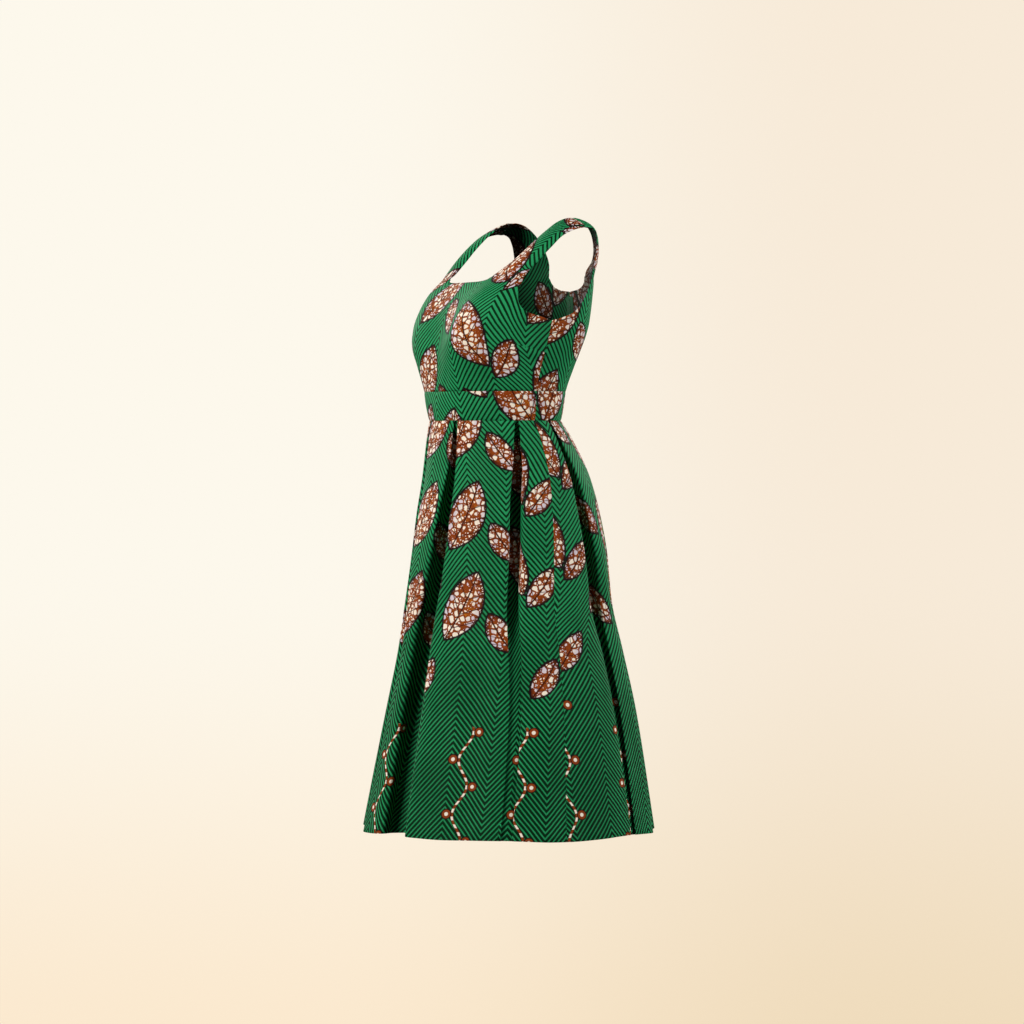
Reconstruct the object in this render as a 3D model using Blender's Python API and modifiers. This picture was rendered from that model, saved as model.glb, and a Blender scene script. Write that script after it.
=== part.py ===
"""Sleeveless knee-length dress in wax print cotton, in the hollow form it has when worn.

Fitted bodice with the shoulder straps cut in one, a midriff band, a pleated flared skirt and a
concealed zip down the centre back.  Metres, +Z up, front towards -Y, the wearer's left towards +X.
The origin lies midway between the tops of the two straps.

Every piece of cloth is an open surface worked out from level rings round the figure, with its wall
added by Solidify.  A place on a ring is given by its height and by its angle about the ring's
centre: 0 at the centre front, 90 at the wearer's left side, 180 at the centre back.
"""

from bisect import bisect_right
from collections import namedtuple
from math import cos, exp, pi, radians, sin

import bmesh
import bpy
from mathutils import Matrix, Vector

# ---------------------------------------------------------------- cloth and seams
CLOTH_WALL = 0.0016
TAPE_WALL = 0.0010
SEAM_GAP = 0.0003
LAYER_GAP = 0.0005

# ---------------------------------------------------------------- heights of the seams and edges
BAND_TOP = -0.2750
WAIST = -0.3215
HEM = -0.9800
UNDERARM = -0.1630
ZIP_TOP = -0.1200
ZIP_END = -0.5000

# ---------------------------------------------------------------- the figure, ring by ring
# front and back are how far the cloth lies ahead of the origin at the centre front and centre
# back.  square is 2 for an ellipse and more for a flatter, squarer ring.  bust is how far the
# cloth stands out over the bust point, which lies at bust_angle and fades over bust_spread.
Ring = namedtuple("Ring", "height half_width front back square square_back bust bust_angle bust_spread",
                  defaults=(2.0, 2.0, 0.0, 36, 24))
TORSO = (
    Ring(-0.060, 0.160, 0.095, -0.040, 2.3, 3.0, 0.0180, 58, 16),
    Ring(-0.080, 0.160, 0.118, -0.046, 2.3, 3.0, 0.0200, 54, 16),
    Ring(-0.100, 0.157, 0.138, -0.050, 2.3, 3.0, 0.0200, 50, 17),
    Ring(-0.120, 0.154, 0.154, -0.052, 2.3, 2.9, 0.0210, 46, 18),
    Ring(-0.140, 0.151, 0.167, -0.053, 2.3, 2.8, 0.0220, 42, 19),
    Ring(-0.163, 0.149, 0.176, -0.052, 2.3, 2.7, 0.0240, 39, 20),
    Ring(-0.185, 0.147, 0.181, -0.048, 2.2, 2.6, 0.0255, 37, 21),
    Ring(-0.205, 0.144, 0.184, -0.042, 2.2, 2.5, 0.0230, 36, 22),
    Ring(-0.235, 0.137, 0.186, -0.032, 2.2, 2.4, 0.0138, 36, 23),
    Ring(-0.275, 0.131, 0.187, -0.021, 2.1, 2.2, 0.0040, 36, 24),
    Ring(-0.3215, 0.128, 0.184, -0.016, 2.0, 2.0, 0.0000, 36, 24),
)
SKIRT = (
    Ring(-0.3215, 0.128, 0.184, -0.016),
    Ring(-0.350, 0.136, 0.1885, -0.0355),
    Ring(-0.417, 0.150, 0.1965, -0.0695),
    Ring(-0.4685, 0.158, 0.2052, -0.0848),
    Ring(-0.535, 0.165, 0.2138, -0.0982),
    Ring(-0.612, 0.175, 0.2244, -0.1056),
    Ring(-0.691, 0.190, 0.2358, -0.1242),
    Ring(-0.788, 0.209, 0.2560, -0.1460),
    Ring(-0.980, 0.240, 0.2959, -0.1761),
)

# ---------------------------------------------------------------- edges of the bodice
# The angle of each edge at each height, on the wearer's left.
Edge = namedtuple("Edge", "height angle")
BODICE_SIDE = (Edge(WAIST, 94.0), Edge(BAND_TOP, 94.0), Edge(UNDERARM, 92.5))
ARMHOLE_FRONT = (
    Edge(UNDERARM, 92.5), Edge(-0.1615, 90.0), Edge(-0.1580, 86.0),
    Edge(-0.1520, 77.5), Edge(-0.1440, 71.8), Edge(-0.1300, 68.0), Edge(-0.1150, 66.8),
    Edge(-0.0960, 67.2),
)
ARMHOLE_BACK = (
    Edge(UNDERARM, 92.5), Edge(-0.1615, 95.0), Edge(-0.1580, 99.5),
    Edge(-0.1520, 105.5), Edge(-0.1440, 109.5), Edge(-0.1300, 112.5), Edge(-0.1150, 114.0),
    Edge(-0.0960, 115.0),
)
# Heights of the neck edge across the body: share is 0 at the centre, 1 at the armhole.
NeckPoint = namedtuple("NeckPoint", "share height")
NECK_FRONT = (
    NeckPoint(0.00, -0.0995), NeckPoint(0.34, -0.0992), NeckPoint(0.46, -0.0985),
    NeckPoint(0.56, -0.0965), NeckPoint(0.64, -0.0915), NeckPoint(1.00, -0.0960),
)
NECK_BACK = (
    NeckPoint(0.00, -0.1120), NeckPoint(0.26, -0.1112), NeckPoint(0.40, -0.1080),
    NeckPoint(0.50, -0.1010), NeckPoint(0.58, -0.0880), NeckPoint(1.00, -0.0960),
)
STRAP_SHARE_FRONT = 0.64
STRAP_SHARE_BACK = 0.58

# Each row crosses the strap from its neck edge to its armhole edge, from the chest up to the
# shoulder seam.  side is towards the wearer's left, ahead is forward; crown is the rise between.
StrapRow = namedtuple("StrapRow", "neck_side neck_ahead neck_height arm_side arm_ahead arm_height crown")
STRAP_FRONT = (
    StrapRow(0.0955, 0.0904, -0.0650, 0.1490, 0.0770, -0.0660, 0.010),
    StrapRow(0.1045, 0.0700, -0.0430, 0.1540, 0.0600, -0.0470, 0.008),
    StrapRow(0.1100, 0.0470, -0.0195, 0.1565, 0.0390, -0.0270, 0.005),
    StrapRow(0.1110, 0.0220, -0.0030, 0.1580, 0.0150, -0.0165, 0.003),
    StrapRow(0.1090, 0.0060, 0.0028, 0.1580, 0.0025, -0.0142, 0.002),
    StrapRow(0.1085, 0.0000, 0.0030, 0.1580, -0.0030, -0.0140, 0.002),
)
STRAP_BACK = (
    StrapRow(0.0845, -0.0515, -0.0640, 0.1450, -0.0228, -0.0700, 0.006),
    StrapRow(0.0960, -0.0468, -0.0370, 0.1510, -0.0238, -0.0480, 0.005),
    StrapRow(0.1040, -0.0360, -0.0160, 0.1548, -0.0222, -0.0310, 0.004),
    StrapRow(0.1078, -0.0190, -0.0010, 0.1573, -0.0175, -0.0190, 0.003),
    StrapRow(0.1086, -0.0060, 0.0028, 0.1580, -0.0085, -0.0143, 0.002),
    StrapRow(0.1085, 0.0000, 0.0030, 0.1580, -0.0030, -0.0140, 0.002),
)

# ---------------------------------------------------------------- pleats of the skirt
# Angles of the bottom of each pleat at the waist, just below it, and at the hip, thigh, knee and hem,
# its depth at the same heights, and how many degrees it opens over, before and after its bottom.
PLEAT_HEIGHTS = (WAIST, -0.362, -0.450, -0.580, -0.700, HEM)
Pleat = namedtuple("Pleat", "name angles depths before after")
FRONT_PLEATS = (
    Pleat("side_right", (-78.9, -74.7, -67.0, -64.6, -64.8, -62.9), (0.005, 0.014, 0.027, 0.019, 0.008, 0.006),
          (2.5, 3.0, 8.9, 13.0, 13.5, 13.8), (2.9, 3.8, 11.2, 15.1, 15.9, 14.7)),
    Pleat("front_right", (-23.1, -21.2, -20.0, -19.2, -18.5, -22.0), (0.005, 0.016, 0.033, 0.044, 0.048, 0.046),
          (3.0, 3.8, 7.0, 9.2, 11.2, 12.3), (3.0, 4.3, 7.4, 9.5, 12.5, 14.7)),
    Pleat("front_left", (27.2, 25.1, 19.3, 13.3, 7.8, 10.0), (0.005, 0.017, 0.036, 0.050, 0.054, 0.052),
          (3.0, 3.7, 7.3, 10.4, 13.8, 15.8), (3.0, 3.7, 6.9, 9.7, 11.9, 12.6)),
    Pleat("side_left", (79.7, 75.0, 68.5, 66.1, 65.3, 62.9), (0.005, 0.019, 0.041, 0.034, 0.010, 0.005),
          (2.4, 3.5, 8.4, 11.5, 15.9, 13.3), (2.4, 3.1, 6.9, 9.8, 13.2, 13.3)),
)
BACK_PLEATS = (
    Pleat("hip_left", (108.1, 110.2, 114.5, 122.9, 124.4, 129.2), (0.005, 0.015, 0.033, 0.037, 0.017, 0.006),
          (2.4, 3.1, 6.3, 10.0, 15.4, 18.2), (2.4, 3.5, 7.1, 12.4, 16.6, 18.2)),
    Pleat("back_left", (150.0, 150.0, 150.2, 149.8, 149.0, 148.6), (0.005, 0.015, 0.031, 0.038, 0.041, 0.041),
          (2.6, 4.2, 7.4, 9.4, 11.4, 12.8), (2.4, 3.4, 5.0, 5.4, 8.6, 10.4)),
)
SIDE_SEAM = (Edge(WAIST, 94.0), Edge(-0.450, 91.0), Edge(-0.583, 88.7), Edge(-0.800, 87.5), Edge(HEM, 86.5))

# ---------------------------------------------------------------- meshing
BODICE_HEIGHTS = (BAND_TOP, -0.252, -0.230, -0.209, -0.190, -0.175, UNDERARM, -0.1615, -0.158, -0.152,
                  -0.144, -0.130, -0.113)
BODICE_ROW_TOP = -0.096
BODICE_COLUMNS = 8
STRAP_SHARES = (0.2, 0.4, 0.6, 0.8, 0.95, 1.0)
BAND_STEP = 5.5
SEAM_STEP = 0.8
SKIRT_HEIGHTS = (WAIST, -0.332, -0.348, -0.372, -0.407, -0.455, -0.500, -0.580, -0.670, -0.770, -0.880, HEM)
PLEAT_STATIONS = (-1.0, -0.62, -0.30, 0.0, 0.30, 0.62, 1.0)
FRONT_STEP = 9.0
BACK_STEP = 7.0
SHARP_ANGLE = 40.0

# ---------------------------------------------------------------- zip fastener
TAPE_WIDTH = 0.024
TAPE_COLUMNS = 4
SLIDER_WIDTH = 0.0056
SLIDER_HEIGHT = 0.0090
SLIDER_DEPTH = 0.0018
EAR_WIDTH = 0.0012
EAR_HEIGHT = 0.0032
EAR_REACH = 0.0030
PIN_RADIUS = 0.0006
PIN_STAND_OFF = 0.0016
PIN_DROP = 0.00225
BARREL_RADIUS = 0.0013
BARREL_BORE = 0.00068
BARREL_LENGTH = 0.0026
PULL_LENGTH = 0.0170
PULL_TOP_WIDTH = 0.0024
PULL_END_WIDTH = 0.0056
PULL_WALL = 0.0010
PULL_ARC_STEPS = 12
ROUND_SIDES = 24

# ---------------------------------------------------------------- finishes: colour, roughness, metallic
PRINT_GREEN = (0.012, 0.140, 0.055, 1.0), 0.62, 0.0
TAPE_GREEN = (0.010, 0.085, 0.035, 1.0), 0.80, 0.0
ENAMEL_GREEN = (0.010, 0.100, 0.040, 1.0), 0.30, 0.6


def clear_scene():
    for item in list(bpy.data.objects):
        bpy.data.objects.remove(item)


def collection(name):
    made = bpy.data.collections.new(name)
    bpy.context.scene.collection.children.link(made)
    return made


def material(name, finish):
    colour, roughness, metallic = finish
    made = bpy.data.materials.new(name)
    made.use_nodes = True
    shader = made.node_tree.nodes["Principled BSDF"]
    shader.inputs["Base Color"].default_value = colour
    shader.inputs["Roughness"].default_value = roughness
    shader.inputs["Metallic"].default_value = metallic
    return made


# ---------------------------------------------------------------- reading the tables
def smooth_between(places, values, place):
    """The value at a place on a smooth curve through the table's rows (places rise)."""
    if place <= places[0]:
        return values[0]
    if place >= places[-1]:
        return values[-1]
    i = bisect_right(places, place) - 1
    span = places[i + 1] - places[i]
    t = (place - places[i]) / span
    slope = (values[i + 1] - values[i]) / span

    def tangent(k):
        if k == 0 or k == len(places) - 1:
            return slope
        before = (values[k] - values[k - 1]) / (places[k] - places[k - 1])
        after = (values[k + 1] - values[k]) / (places[k + 1] - places[k])
        if before * after <= 0:
            return 0.0
        return 2 * before * after / (before + after)

    low, high = tangent(i) * span, tangent(i + 1) * span
    return ((2 * t**3 - 3 * t**2 + 1) * values[i] + (t**3 - 2 * t**2 + t) * low
            + (3 * t**2 - 2 * t**3) * values[i + 1] + (t**3 - t**2) * high)


def table_value(table, column, height):
    rows = sorted(table, key=lambda row: row.height)
    return smooth_between([row.height for row in rows], [getattr(row, column) for row in rows], height)


def at_pleat_heights(values, height):
    return smooth_between([-h for h in PLEAT_HEIGHTS], values, -height)


def neck_height(table, share):
    return smooth_between([row.share for row in table], [row.height for row in table], share)


# ---------------------------------------------------------------- the form of the worn cloth
def ring_point(table, angle, height, inward=0.0):
    """A point of the cloth's outer face; inward moves it towards the ring's centre."""
    def read(column):
        return table_value(table, column, height)
    turn = radians(angle)
    centre = (read("front") + read("back")) / 2
    depth = (read("front") - read("back")) / 2
    power = read("square") if cos(turn) > 0 else read("square_back")
    reach = ((abs(sin(turn)) / read("half_width"))**power + (abs(cos(turn)) / depth)**power)**(-1 / power)
    reach += read("bust") * exp(-((abs(angle) - read("bust_angle")) / read("bust_spread"))**2)
    reach -= inward
    return Vector((reach * sin(turn), -centre - reach * cos(turn), height))


def pleat_inset(pleats, angle, height):
    """How far the pleats draw the skirt in at one place."""
    inset = 0.0
    for pleat in pleats:
        offset = angle - at_pleat_heights(pleat.angles, height)
        spread = at_pleat_heights(pleat.before if offset < 0 else pleat.after, height)
        if abs(offset) < spread:
            inset = max(inset, at_pleat_heights(pleat.depths, height) * (1 + cos(pi * offset / spread)) / 2)
    return inset


def skirt_point(pleats, angle, height):
    return ring_point(SKIRT, angle, height, pleat_inset(pleats, angle, height))


def strap_point(rows, index, share):
    """A point across one row of the strap, share 0 at the neck edge and 1 at the armhole edge."""
    def edges(row):
        return (Vector((row.neck_side, -row.neck_ahead, row.neck_height)),
                Vector((row.arm_side, -row.arm_ahead, row.arm_height)))
    neck, arm = edges(rows[index])
    low_neck, low_arm = edges(rows[max(index - 1, 0)])
    high_neck, high_arm = edges(rows[min(index + 1, len(rows) - 1)])
    along = (high_neck + high_arm) - (low_neck + low_arm)
    out = along.cross(arm - neck).normalized()
    if rows is STRAP_FRONT:
        out = -out
    return neck.lerp(arm, share) + out * (rows[index].crown * 4 * share * (1 - share))


# ---------------------------------------------------------------- building surfaces
def grid_object(name, columns, parts, finish, wall=CLOTH_WALL, inside_out=False, mirror=False):
    """A cloth piece from columns of points, each column running upwards.

    A column may be longer than its neighbour; faces fill the rows that both have.
    """
    mesh = bmesh.new()
    lines = [[mesh.verts.new(point) for point in column] for column in columns]
    for left, right in zip(lines, lines[1:]):
        for row in range(min(len(left), len(right)) - 1):
            corners = (left[row], right[row], right[row + 1], left[row + 1])
            mesh.faces.new(corners[::-1] if inside_out else corners)
    made = mesh_object(name, mesh, parts, finish)
    if mirror:
        half = made.modifiers.new("other_half", "MIRROR")
        half.merge_threshold = 0.00005
    solid = made.modifiers.new("cloth_wall", "SOLIDIFY")
    solid.thickness = wall
    solid.offset = -1.0
    return made


def mesh_object(name, mesh, parts, finish):
    data = bpy.data.meshes.new(name)
    mesh.to_mesh(data)
    mesh.free()
    data.materials.append(finish)
    data.shade_smooth()
    data.set_sharp_from_angle(angle=radians(SHARP_ANGLE))
    made = bpy.data.objects.new(name, data)
    parts.objects.link(made)
    return made


def flipped(columns):
    """The same columns on the wearer's other side."""
    return [[Vector((-point.x, point.y, point.z)) for point in column] for column in columns]


def ring_depth(table, height):
    """Half of a ring's length from front to back."""
    return (table_value(table, "front", height) - table_value(table, "back", height)) / 2


def degrees_for(length, reach):
    """The angle that a short length takes up at a given distance from the ring's centre."""
    return length / reach * 180 / pi


def side_turn(table, height):
    return degrees_for(SEAM_GAP / 2, table_value(table, "half_width", height))


def back_turn(table, height):
    return degrees_for(SEAM_GAP / 2, ring_depth(table, height))


# ---------------------------------------------------------------- bodice
def bodice_columns(armhole, neck, strap, strap_share, centre, side_gap):
    """Columns from the centre line to the side seam; those under the strap run to the shoulder."""
    shares = [strap_share * i / BODICE_COLUMNS for i in range(BODICE_COLUMNS + 1)]
    shares += [strap_share + (1 - strap_share) * across for across in STRAP_SHARES]
    lowest = BAND_TOP + SEAM_GAP / 2
    top_gap = Vector((0, SEAM_GAP / 2 if strap is STRAP_BACK else -SEAM_GAP / 2, 0))
    columns = []
    for i, share in enumerate(shares):
        top = neck_height(neck, share)
        column = []
        for height in BODICE_HEIGHTS + (BODICE_ROW_TOP,):
            rise = (height - BAND_TOP) / (BODICE_ROW_TOP - BAND_TOP)
            level = lowest + (top - lowest) * rise
            edge = table_value(armhole if level > UNDERARM else BODICE_SIDE, "angle", level)
            angle = centre + (edge + side_gap - centre) * share
            column.append(ring_point(TORSO, angle, level))
        if i >= BODICE_COLUMNS:
            across = (share - strap_share) / (1 - strap_share)
            rows = [strap_point(strap, k, across) for k in range(len(strap))]
            rows[-1] = rows[-1] + top_gap
            column += rows
        columns.append(column)
    return columns


def build_bodice(parts, finish):
    side_gap = side_turn(TORSO, BAND_TOP)
    front = bodice_columns(ARMHOLE_FRONT, NECK_FRONT, STRAP_FRONT, STRAP_SHARE_FRONT, 0.0, -side_gap)
    grid_object("bodice_front", front, parts, finish, mirror=True)
    centre_back = 180.0 - back_turn(TORSO, BAND_TOP)
    back = bodice_columns(ARMHOLE_BACK, NECK_BACK, STRAP_BACK, STRAP_SHARE_BACK, centre_back, side_gap)
    grid_object("bodice_back_left", back, parts, finish, inside_out=True)
    grid_object("bodice_back_right", flipped(back), parts, finish)


# ---------------------------------------------------------------- midriff band
def band_columns(first, last):
    steps = round((last - first) / BAND_STEP)
    angles = [first + (last - first) * i / steps for i in range(steps + 1)]
    angles = [first, first + SEAM_STEP] + angles[1:-1] + [last - SEAM_STEP, last]
    low, high = WAIST + SEAM_GAP / 2, BAND_TOP - SEAM_GAP / 2
    heights = (low, (low + high) / 2, high)
    return [[ring_point(TORSO, angle, height) for height in heights] for angle in angles]


def build_band(parts, finish):
    side = BODICE_SIDE[0].angle
    side_gap = side_turn(TORSO, BAND_TOP)
    grid_object("band_front", band_columns(side_gap - side, side - side_gap), parts, finish)
    back = band_columns(side + side_gap, 180.0 - back_turn(TORSO, BAND_TOP))
    grid_object("band_back_left", back, parts, finish)
    grid_object("band_back_right", flipped(back), parts, finish, inside_out=True)


# ---------------------------------------------------------------- skirt
def plain_counts(pleats, step, first, last):
    """How many columns lie between neighbouring pleats, and between them and the two edges."""
    starts = [first] + [pleat.angles[0] + pleat.after[0] for pleat in pleats]
    stops = [pleat.angles[0] - pleat.before[0] for pleat in pleats] + [last]
    return [max(0, round((stop - start) / step) - 1) for start, stop in zip(starts, stops)]


def spaced(start, stop, count):
    return [start + (stop - start) * (k + 1) / (count + 1) for k in range(count)]


def skirt_stations(pleats, counts, first, last, height):
    """Angles of the columns at one height: close over each pleat and at the seams, wider between."""
    stations = [first, first + SEAM_STEP]
    for pleat, count in zip(pleats, counts):
        bottom = at_pleat_heights(pleat.angles, height)
        before = at_pleat_heights(pleat.before, height)
        after = at_pleat_heights(pleat.after, height)
        over = [bottom + step * (before if step < 0 else after) for step in PLEAT_STATIONS]
        stations += spaced(stations[-1], over[0], count) + over
    stations += spaced(stations[-1], last - SEAM_STEP, counts[-1])
    return stations + [last - SEAM_STEP, last]


def skirt_columns(pleats, step, first_at, last_at):
    counts = plain_counts(pleats, step, first_at(WAIST), last_at(WAIST))
    rows = []
    for height in SKIRT_HEIGHTS:
        level = WAIST - SEAM_GAP / 2 if height == WAIST else height
        stations = skirt_stations(pleats, counts, first_at(level), last_at(level), level)
        rows.append([skirt_point(pleats, angle, level) for angle in stations])
    rows.reverse()
    return [list(column) for column in zip(*rows)]


def build_skirt(parts, finish):
    def side(height):
        return table_value(SIDE_SEAM, "angle", height)

    def turn(height):
        return side_turn(SKIRT, height)

    front = skirt_columns(FRONT_PLEATS, FRONT_STEP, lambda h: turn(h) - side(h), lambda h: side(h) - turn(h))
    grid_object("skirt_front", front, parts, finish)
    back = skirt_columns(BACK_PLEATS, BACK_STEP, lambda h: side(h) + turn(h),
                         lambda h: 180.0 - back_turn(SKIRT, h))
    grid_object("skirt_back_left", back, parts, finish)
    grid_object("skirt_back_right", flipped(back), parts, finish, inside_out=True)


# ---------------------------------------------------------------- zip fastener
def build_zip_tape(parts, finish):
    """One closed strip behind the centre back seam, made from the panels' own points."""
    inward = CLOTH_WALL + LAYER_GAP
    heights = [h for h in BODICE_HEIGHTS if h < ZIP_TOP]
    heights = [ZIP_TOP] + sorted(heights, reverse=True) + [(BAND_TOP + WAIST) / 2]
    heights += [h for h in SKIRT_HEIGHTS if h > ZIP_END] + [ZIP_END]
    columns = []
    for i in range(TAPE_COLUMNS + 1):
        across = TAPE_WIDTH * (i / TAPE_COLUMNS - 0.5)
        column = []
        for height in sorted(heights):
            table = TORSO if height >= WAIST else SKIRT
            turn = degrees_for(across, ring_depth(table, height))
            column.append(ring_point(table, 180.0 - turn, height, inward))
        columns.append(column)
    grid_object("zip_tape", columns, parts, finish, wall=TAPE_WALL, inside_out=True)


def box(name, size, centre, parts, finish):
    mesh = bmesh.new()
    bmesh.ops.create_cube(mesh, size=1.0, matrix=Matrix.Translation(centre) @ Matrix.Diagonal((*size, 1.0)))
    return mesh_object(name, mesh, parts, finish)


def rod(name, radius, length, centre, parts, finish):
    """A round bar along X."""
    mesh = bmesh.new()
    place = Matrix.Translation(centre) @ Matrix.Rotation(pi / 2, 4, "Y")
    bmesh.ops.create_cone(mesh, cap_ends=True, segments=ROUND_SIDES, radius1=radius, radius2=radius,
                          depth=length, matrix=place)
    return mesh_object(name, mesh, parts, finish)


def combine(base, tool, operation, cutters):
    """Joins or cuts base by tool, which then counts as a cutter."""
    change = base.modifiers.new(tool.name, "BOOLEAN")
    change.operation = operation
    change.object = tool
    for group in tool.users_collection:
        group.objects.unlink(tool)
    cutters.objects.link(tool)
    tool.hide_render = True
    tool.display_type = "WIRE"


def slider_face():
    """Outer face of the cloth at the top of the zip, where the slider lies."""
    return ring_point(TORSO, 180.0, ZIP_TOP - SLIDER_HEIGHT / 2).y + LAYER_GAP


def hinge_centre():
    return Vector((0, slider_face() + SLIDER_DEPTH + PIN_STAND_OFF, ZIP_TOP - PIN_DROP))


def build_slider(parts, cutters, finish):
    hinge = hinge_centre()
    middle = Vector((0, slider_face() + SLIDER_DEPTH / 2, ZIP_TOP - SLIDER_HEIGHT / 2))
    slider = box("zip_slider", (SLIDER_WIDTH, SLIDER_DEPTH, SLIDER_HEIGHT), middle, parts, finish)
    ear_depth = EAR_REACH + SLIDER_DEPTH / 2
    for side, word in ((-1, "right"), (1, "left")):
        place = Vector((side * (SLIDER_WIDTH - EAR_WIDTH) / 2, middle.y + ear_depth / 2, hinge.z))
        ear = box(f"slider_ear_{word}", (EAR_WIDTH, ear_depth, EAR_HEIGHT), place, parts, finish)
        combine(slider, ear, "UNION", cutters)
    pin = rod("slider_pin", PIN_RADIUS, SLIDER_WIDTH - EAR_WIDTH, hinge, parts, finish)
    combine(slider, pin, "UNION", cutters)


def pull_outline():
    """Flat outline of the pull, widening from its barrel to a round end."""
    top, end = PULL_TOP_WIDTH / 2, PULL_END_WIDTH / 2
    centre = PULL_LENGTH - end
    turns = [pi * k / PULL_ARC_STEPS for k in range(PULL_ARC_STEPS + 1)]
    arc = [Vector((end * cos(turn), -centre - end * sin(turn), 0)) for turn in turns]
    return [Vector((top, 0, 0))] + arc + [Vector((-top, 0, 0))]


def build_pull(parts, cutters, finish):
    hinge = hinge_centre()
    mesh = bmesh.new()
    outline = [mesh.verts.new(point) for point in pull_outline()]
    face = mesh.faces.new(outline)
    solid = bmesh.ops.extrude_face_region(mesh, geom=[face])
    moved = [item for item in solid["geom"] if isinstance(item, bmesh.types.BMVert)]
    bmesh.ops.translate(mesh, verts=moved, vec=(0, 0, PULL_WALL))
    bmesh.ops.translate(mesh, verts=mesh.verts, vec=(0, 0, -PULL_WALL / 2))
    bmesh.ops.rotate(mesh, verts=mesh.verts, cent=(0, 0, 0), matrix=Matrix.Rotation(pi / 2, 3, "X"))
    bmesh.ops.recalc_face_normals(mesh, faces=mesh.faces)
    pull = mesh_object("zip_pull", mesh, parts, finish)
    pull.location = hinge
    barrel = rod("pull_barrel", BARREL_RADIUS, BARREL_LENGTH, hinge, parts, finish)
    combine(pull, barrel, "UNION", cutters)
    bore = rod("pull_bore", BARREL_BORE, SLIDER_WIDTH, hinge, parts, finish)
    combine(pull, bore, "DIFFERENCE", cutters)


def build_dress():
    clear_scene()
    parts = collection("wax_print_dress")
    cutters = collection("cutters")
    cotton = material("wax_print_cotton", PRINT_GREEN)
    build_bodice(parts, cotton)
    build_band(parts, cotton)
    build_skirt(parts, cotton)
    build_zip_tape(parts, material("zip_tape", TAPE_GREEN))
    enamel = material("zip_enamel", ENAMEL_GREEN)
    build_slider(parts, cutters, enamel)
    build_pull(parts, cutters, enamel)


build_dress()
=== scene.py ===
"""Looks of the wax print dress: finely modelled cloth, a procedural print, the zip and studio light.

Every piece of cloth is worked out from the same level rings as its solid.  A place on a ring is
its height and its angle about the ring's centre: 0 at the centre front, 90 at the wearer's left
side, 180 at the centre back.  The print map holds each piece's flat cut, in metres.
"""

from collections import namedtuple
from math import cos, pi, radians, sin

import bmesh
import bpy
import numpy as np
from mathutils import Matrix, Vector


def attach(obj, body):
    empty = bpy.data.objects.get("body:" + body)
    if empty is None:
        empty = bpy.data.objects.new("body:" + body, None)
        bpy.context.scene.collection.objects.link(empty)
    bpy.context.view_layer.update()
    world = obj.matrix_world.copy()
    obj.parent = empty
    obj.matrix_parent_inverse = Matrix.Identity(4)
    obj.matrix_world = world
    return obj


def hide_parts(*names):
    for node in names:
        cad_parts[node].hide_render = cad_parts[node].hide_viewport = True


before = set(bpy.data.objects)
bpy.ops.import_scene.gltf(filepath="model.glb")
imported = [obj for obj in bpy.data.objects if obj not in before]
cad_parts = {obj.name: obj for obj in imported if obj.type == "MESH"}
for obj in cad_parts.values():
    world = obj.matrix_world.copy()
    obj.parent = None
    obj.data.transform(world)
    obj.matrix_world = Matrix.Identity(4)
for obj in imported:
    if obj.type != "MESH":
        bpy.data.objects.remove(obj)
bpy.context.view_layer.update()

# ---------------------------------------------------------------- cloth
CLOTH_WALL = 0.0006
SEAM_GAP = 0.00016
BAND_TOP = -0.2750
WAIST = -0.3215
HEM = -0.9800
UNDERARM = -0.1630
ZIP_TOP = -0.1200
ZIP_END = -0.5000
CENTRE_BACK = 180.0
# Half a seam gap in degrees, at the band's half width, and how far the centre back lies from a
# ring's centre.
BAND_HALF_WIDTH, BACK_REACH = 0.131, 0.100
HALF_SEAM = np.degrees(SEAM_GAP / 2 / BAND_HALF_WIDTH)
# How far from an edge or seam the cloth turns in, and how deep.
EDGE_REACH, EDGE_DEPTH = 0.0022, 0.0005
ROLL_REACH, ROLL_DEPTH = 0.0016, 0.0007
SHOULDER_REACH, SHOULDER_DEPTH = 0.0030, 0.0010
CENTRE_REACH, CENTRE_DEPTH = 0.0030, 0.0012
WAIST_REACH, WAIST_DEPTH = 0.0026, 0.0006
SIDE_REACH = 0.0030
FAR_OFF = 1.0
SAME_PLACE = 1e-6
# Shares of a crease's length at which it reaches its full height and starts to fade.
CREASE_FULL, CREASE_FADES = 0.45, 0.6

# ---------------------------------------------------------------- the figure, ring by ring
Ring = namedtuple("Ring", "height half_width front back square square_back bust bust_angle bust_spread",
                  defaults=(2.0, 2.0, 0.0, 36, 24))
TORSO = (
    Ring(-0.060, 0.160, 0.095, -0.040, 2.3, 3.0, 0.0080, 64, 14),
    Ring(-0.080, 0.160, 0.118, -0.046, 2.3, 3.0, 0.0110, 62, 14),
    Ring(-0.100, 0.157, 0.138, -0.050, 2.3, 3.0, 0.0170, 54, 16),
    Ring(-0.120, 0.154, 0.154, -0.052, 2.3, 2.9, 0.0210, 46, 18),
    Ring(-0.140, 0.151, 0.167, -0.053, 2.3, 2.8, 0.0220, 42, 19),
    Ring(-0.163, 0.149, 0.176, -0.052, 2.3, 2.7, 0.0240, 39, 20),
    Ring(-0.185, 0.147, 0.181, -0.048, 2.2, 2.6, 0.0255, 37, 21),
    Ring(-0.205, 0.144, 0.184, -0.042, 2.2, 2.5, 0.0230, 36, 22),
    Ring(-0.235, 0.137, 0.186, -0.032, 2.2, 2.4, 0.0138, 36, 23),
    Ring(-0.275, 0.131, 0.187, -0.021, 2.1, 2.2, 0.0040, 36, 24),
    Ring(-0.3215, 0.128, 0.184, -0.016, 2.0, 2.0, 0.0000, 36, 24),
)
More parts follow.
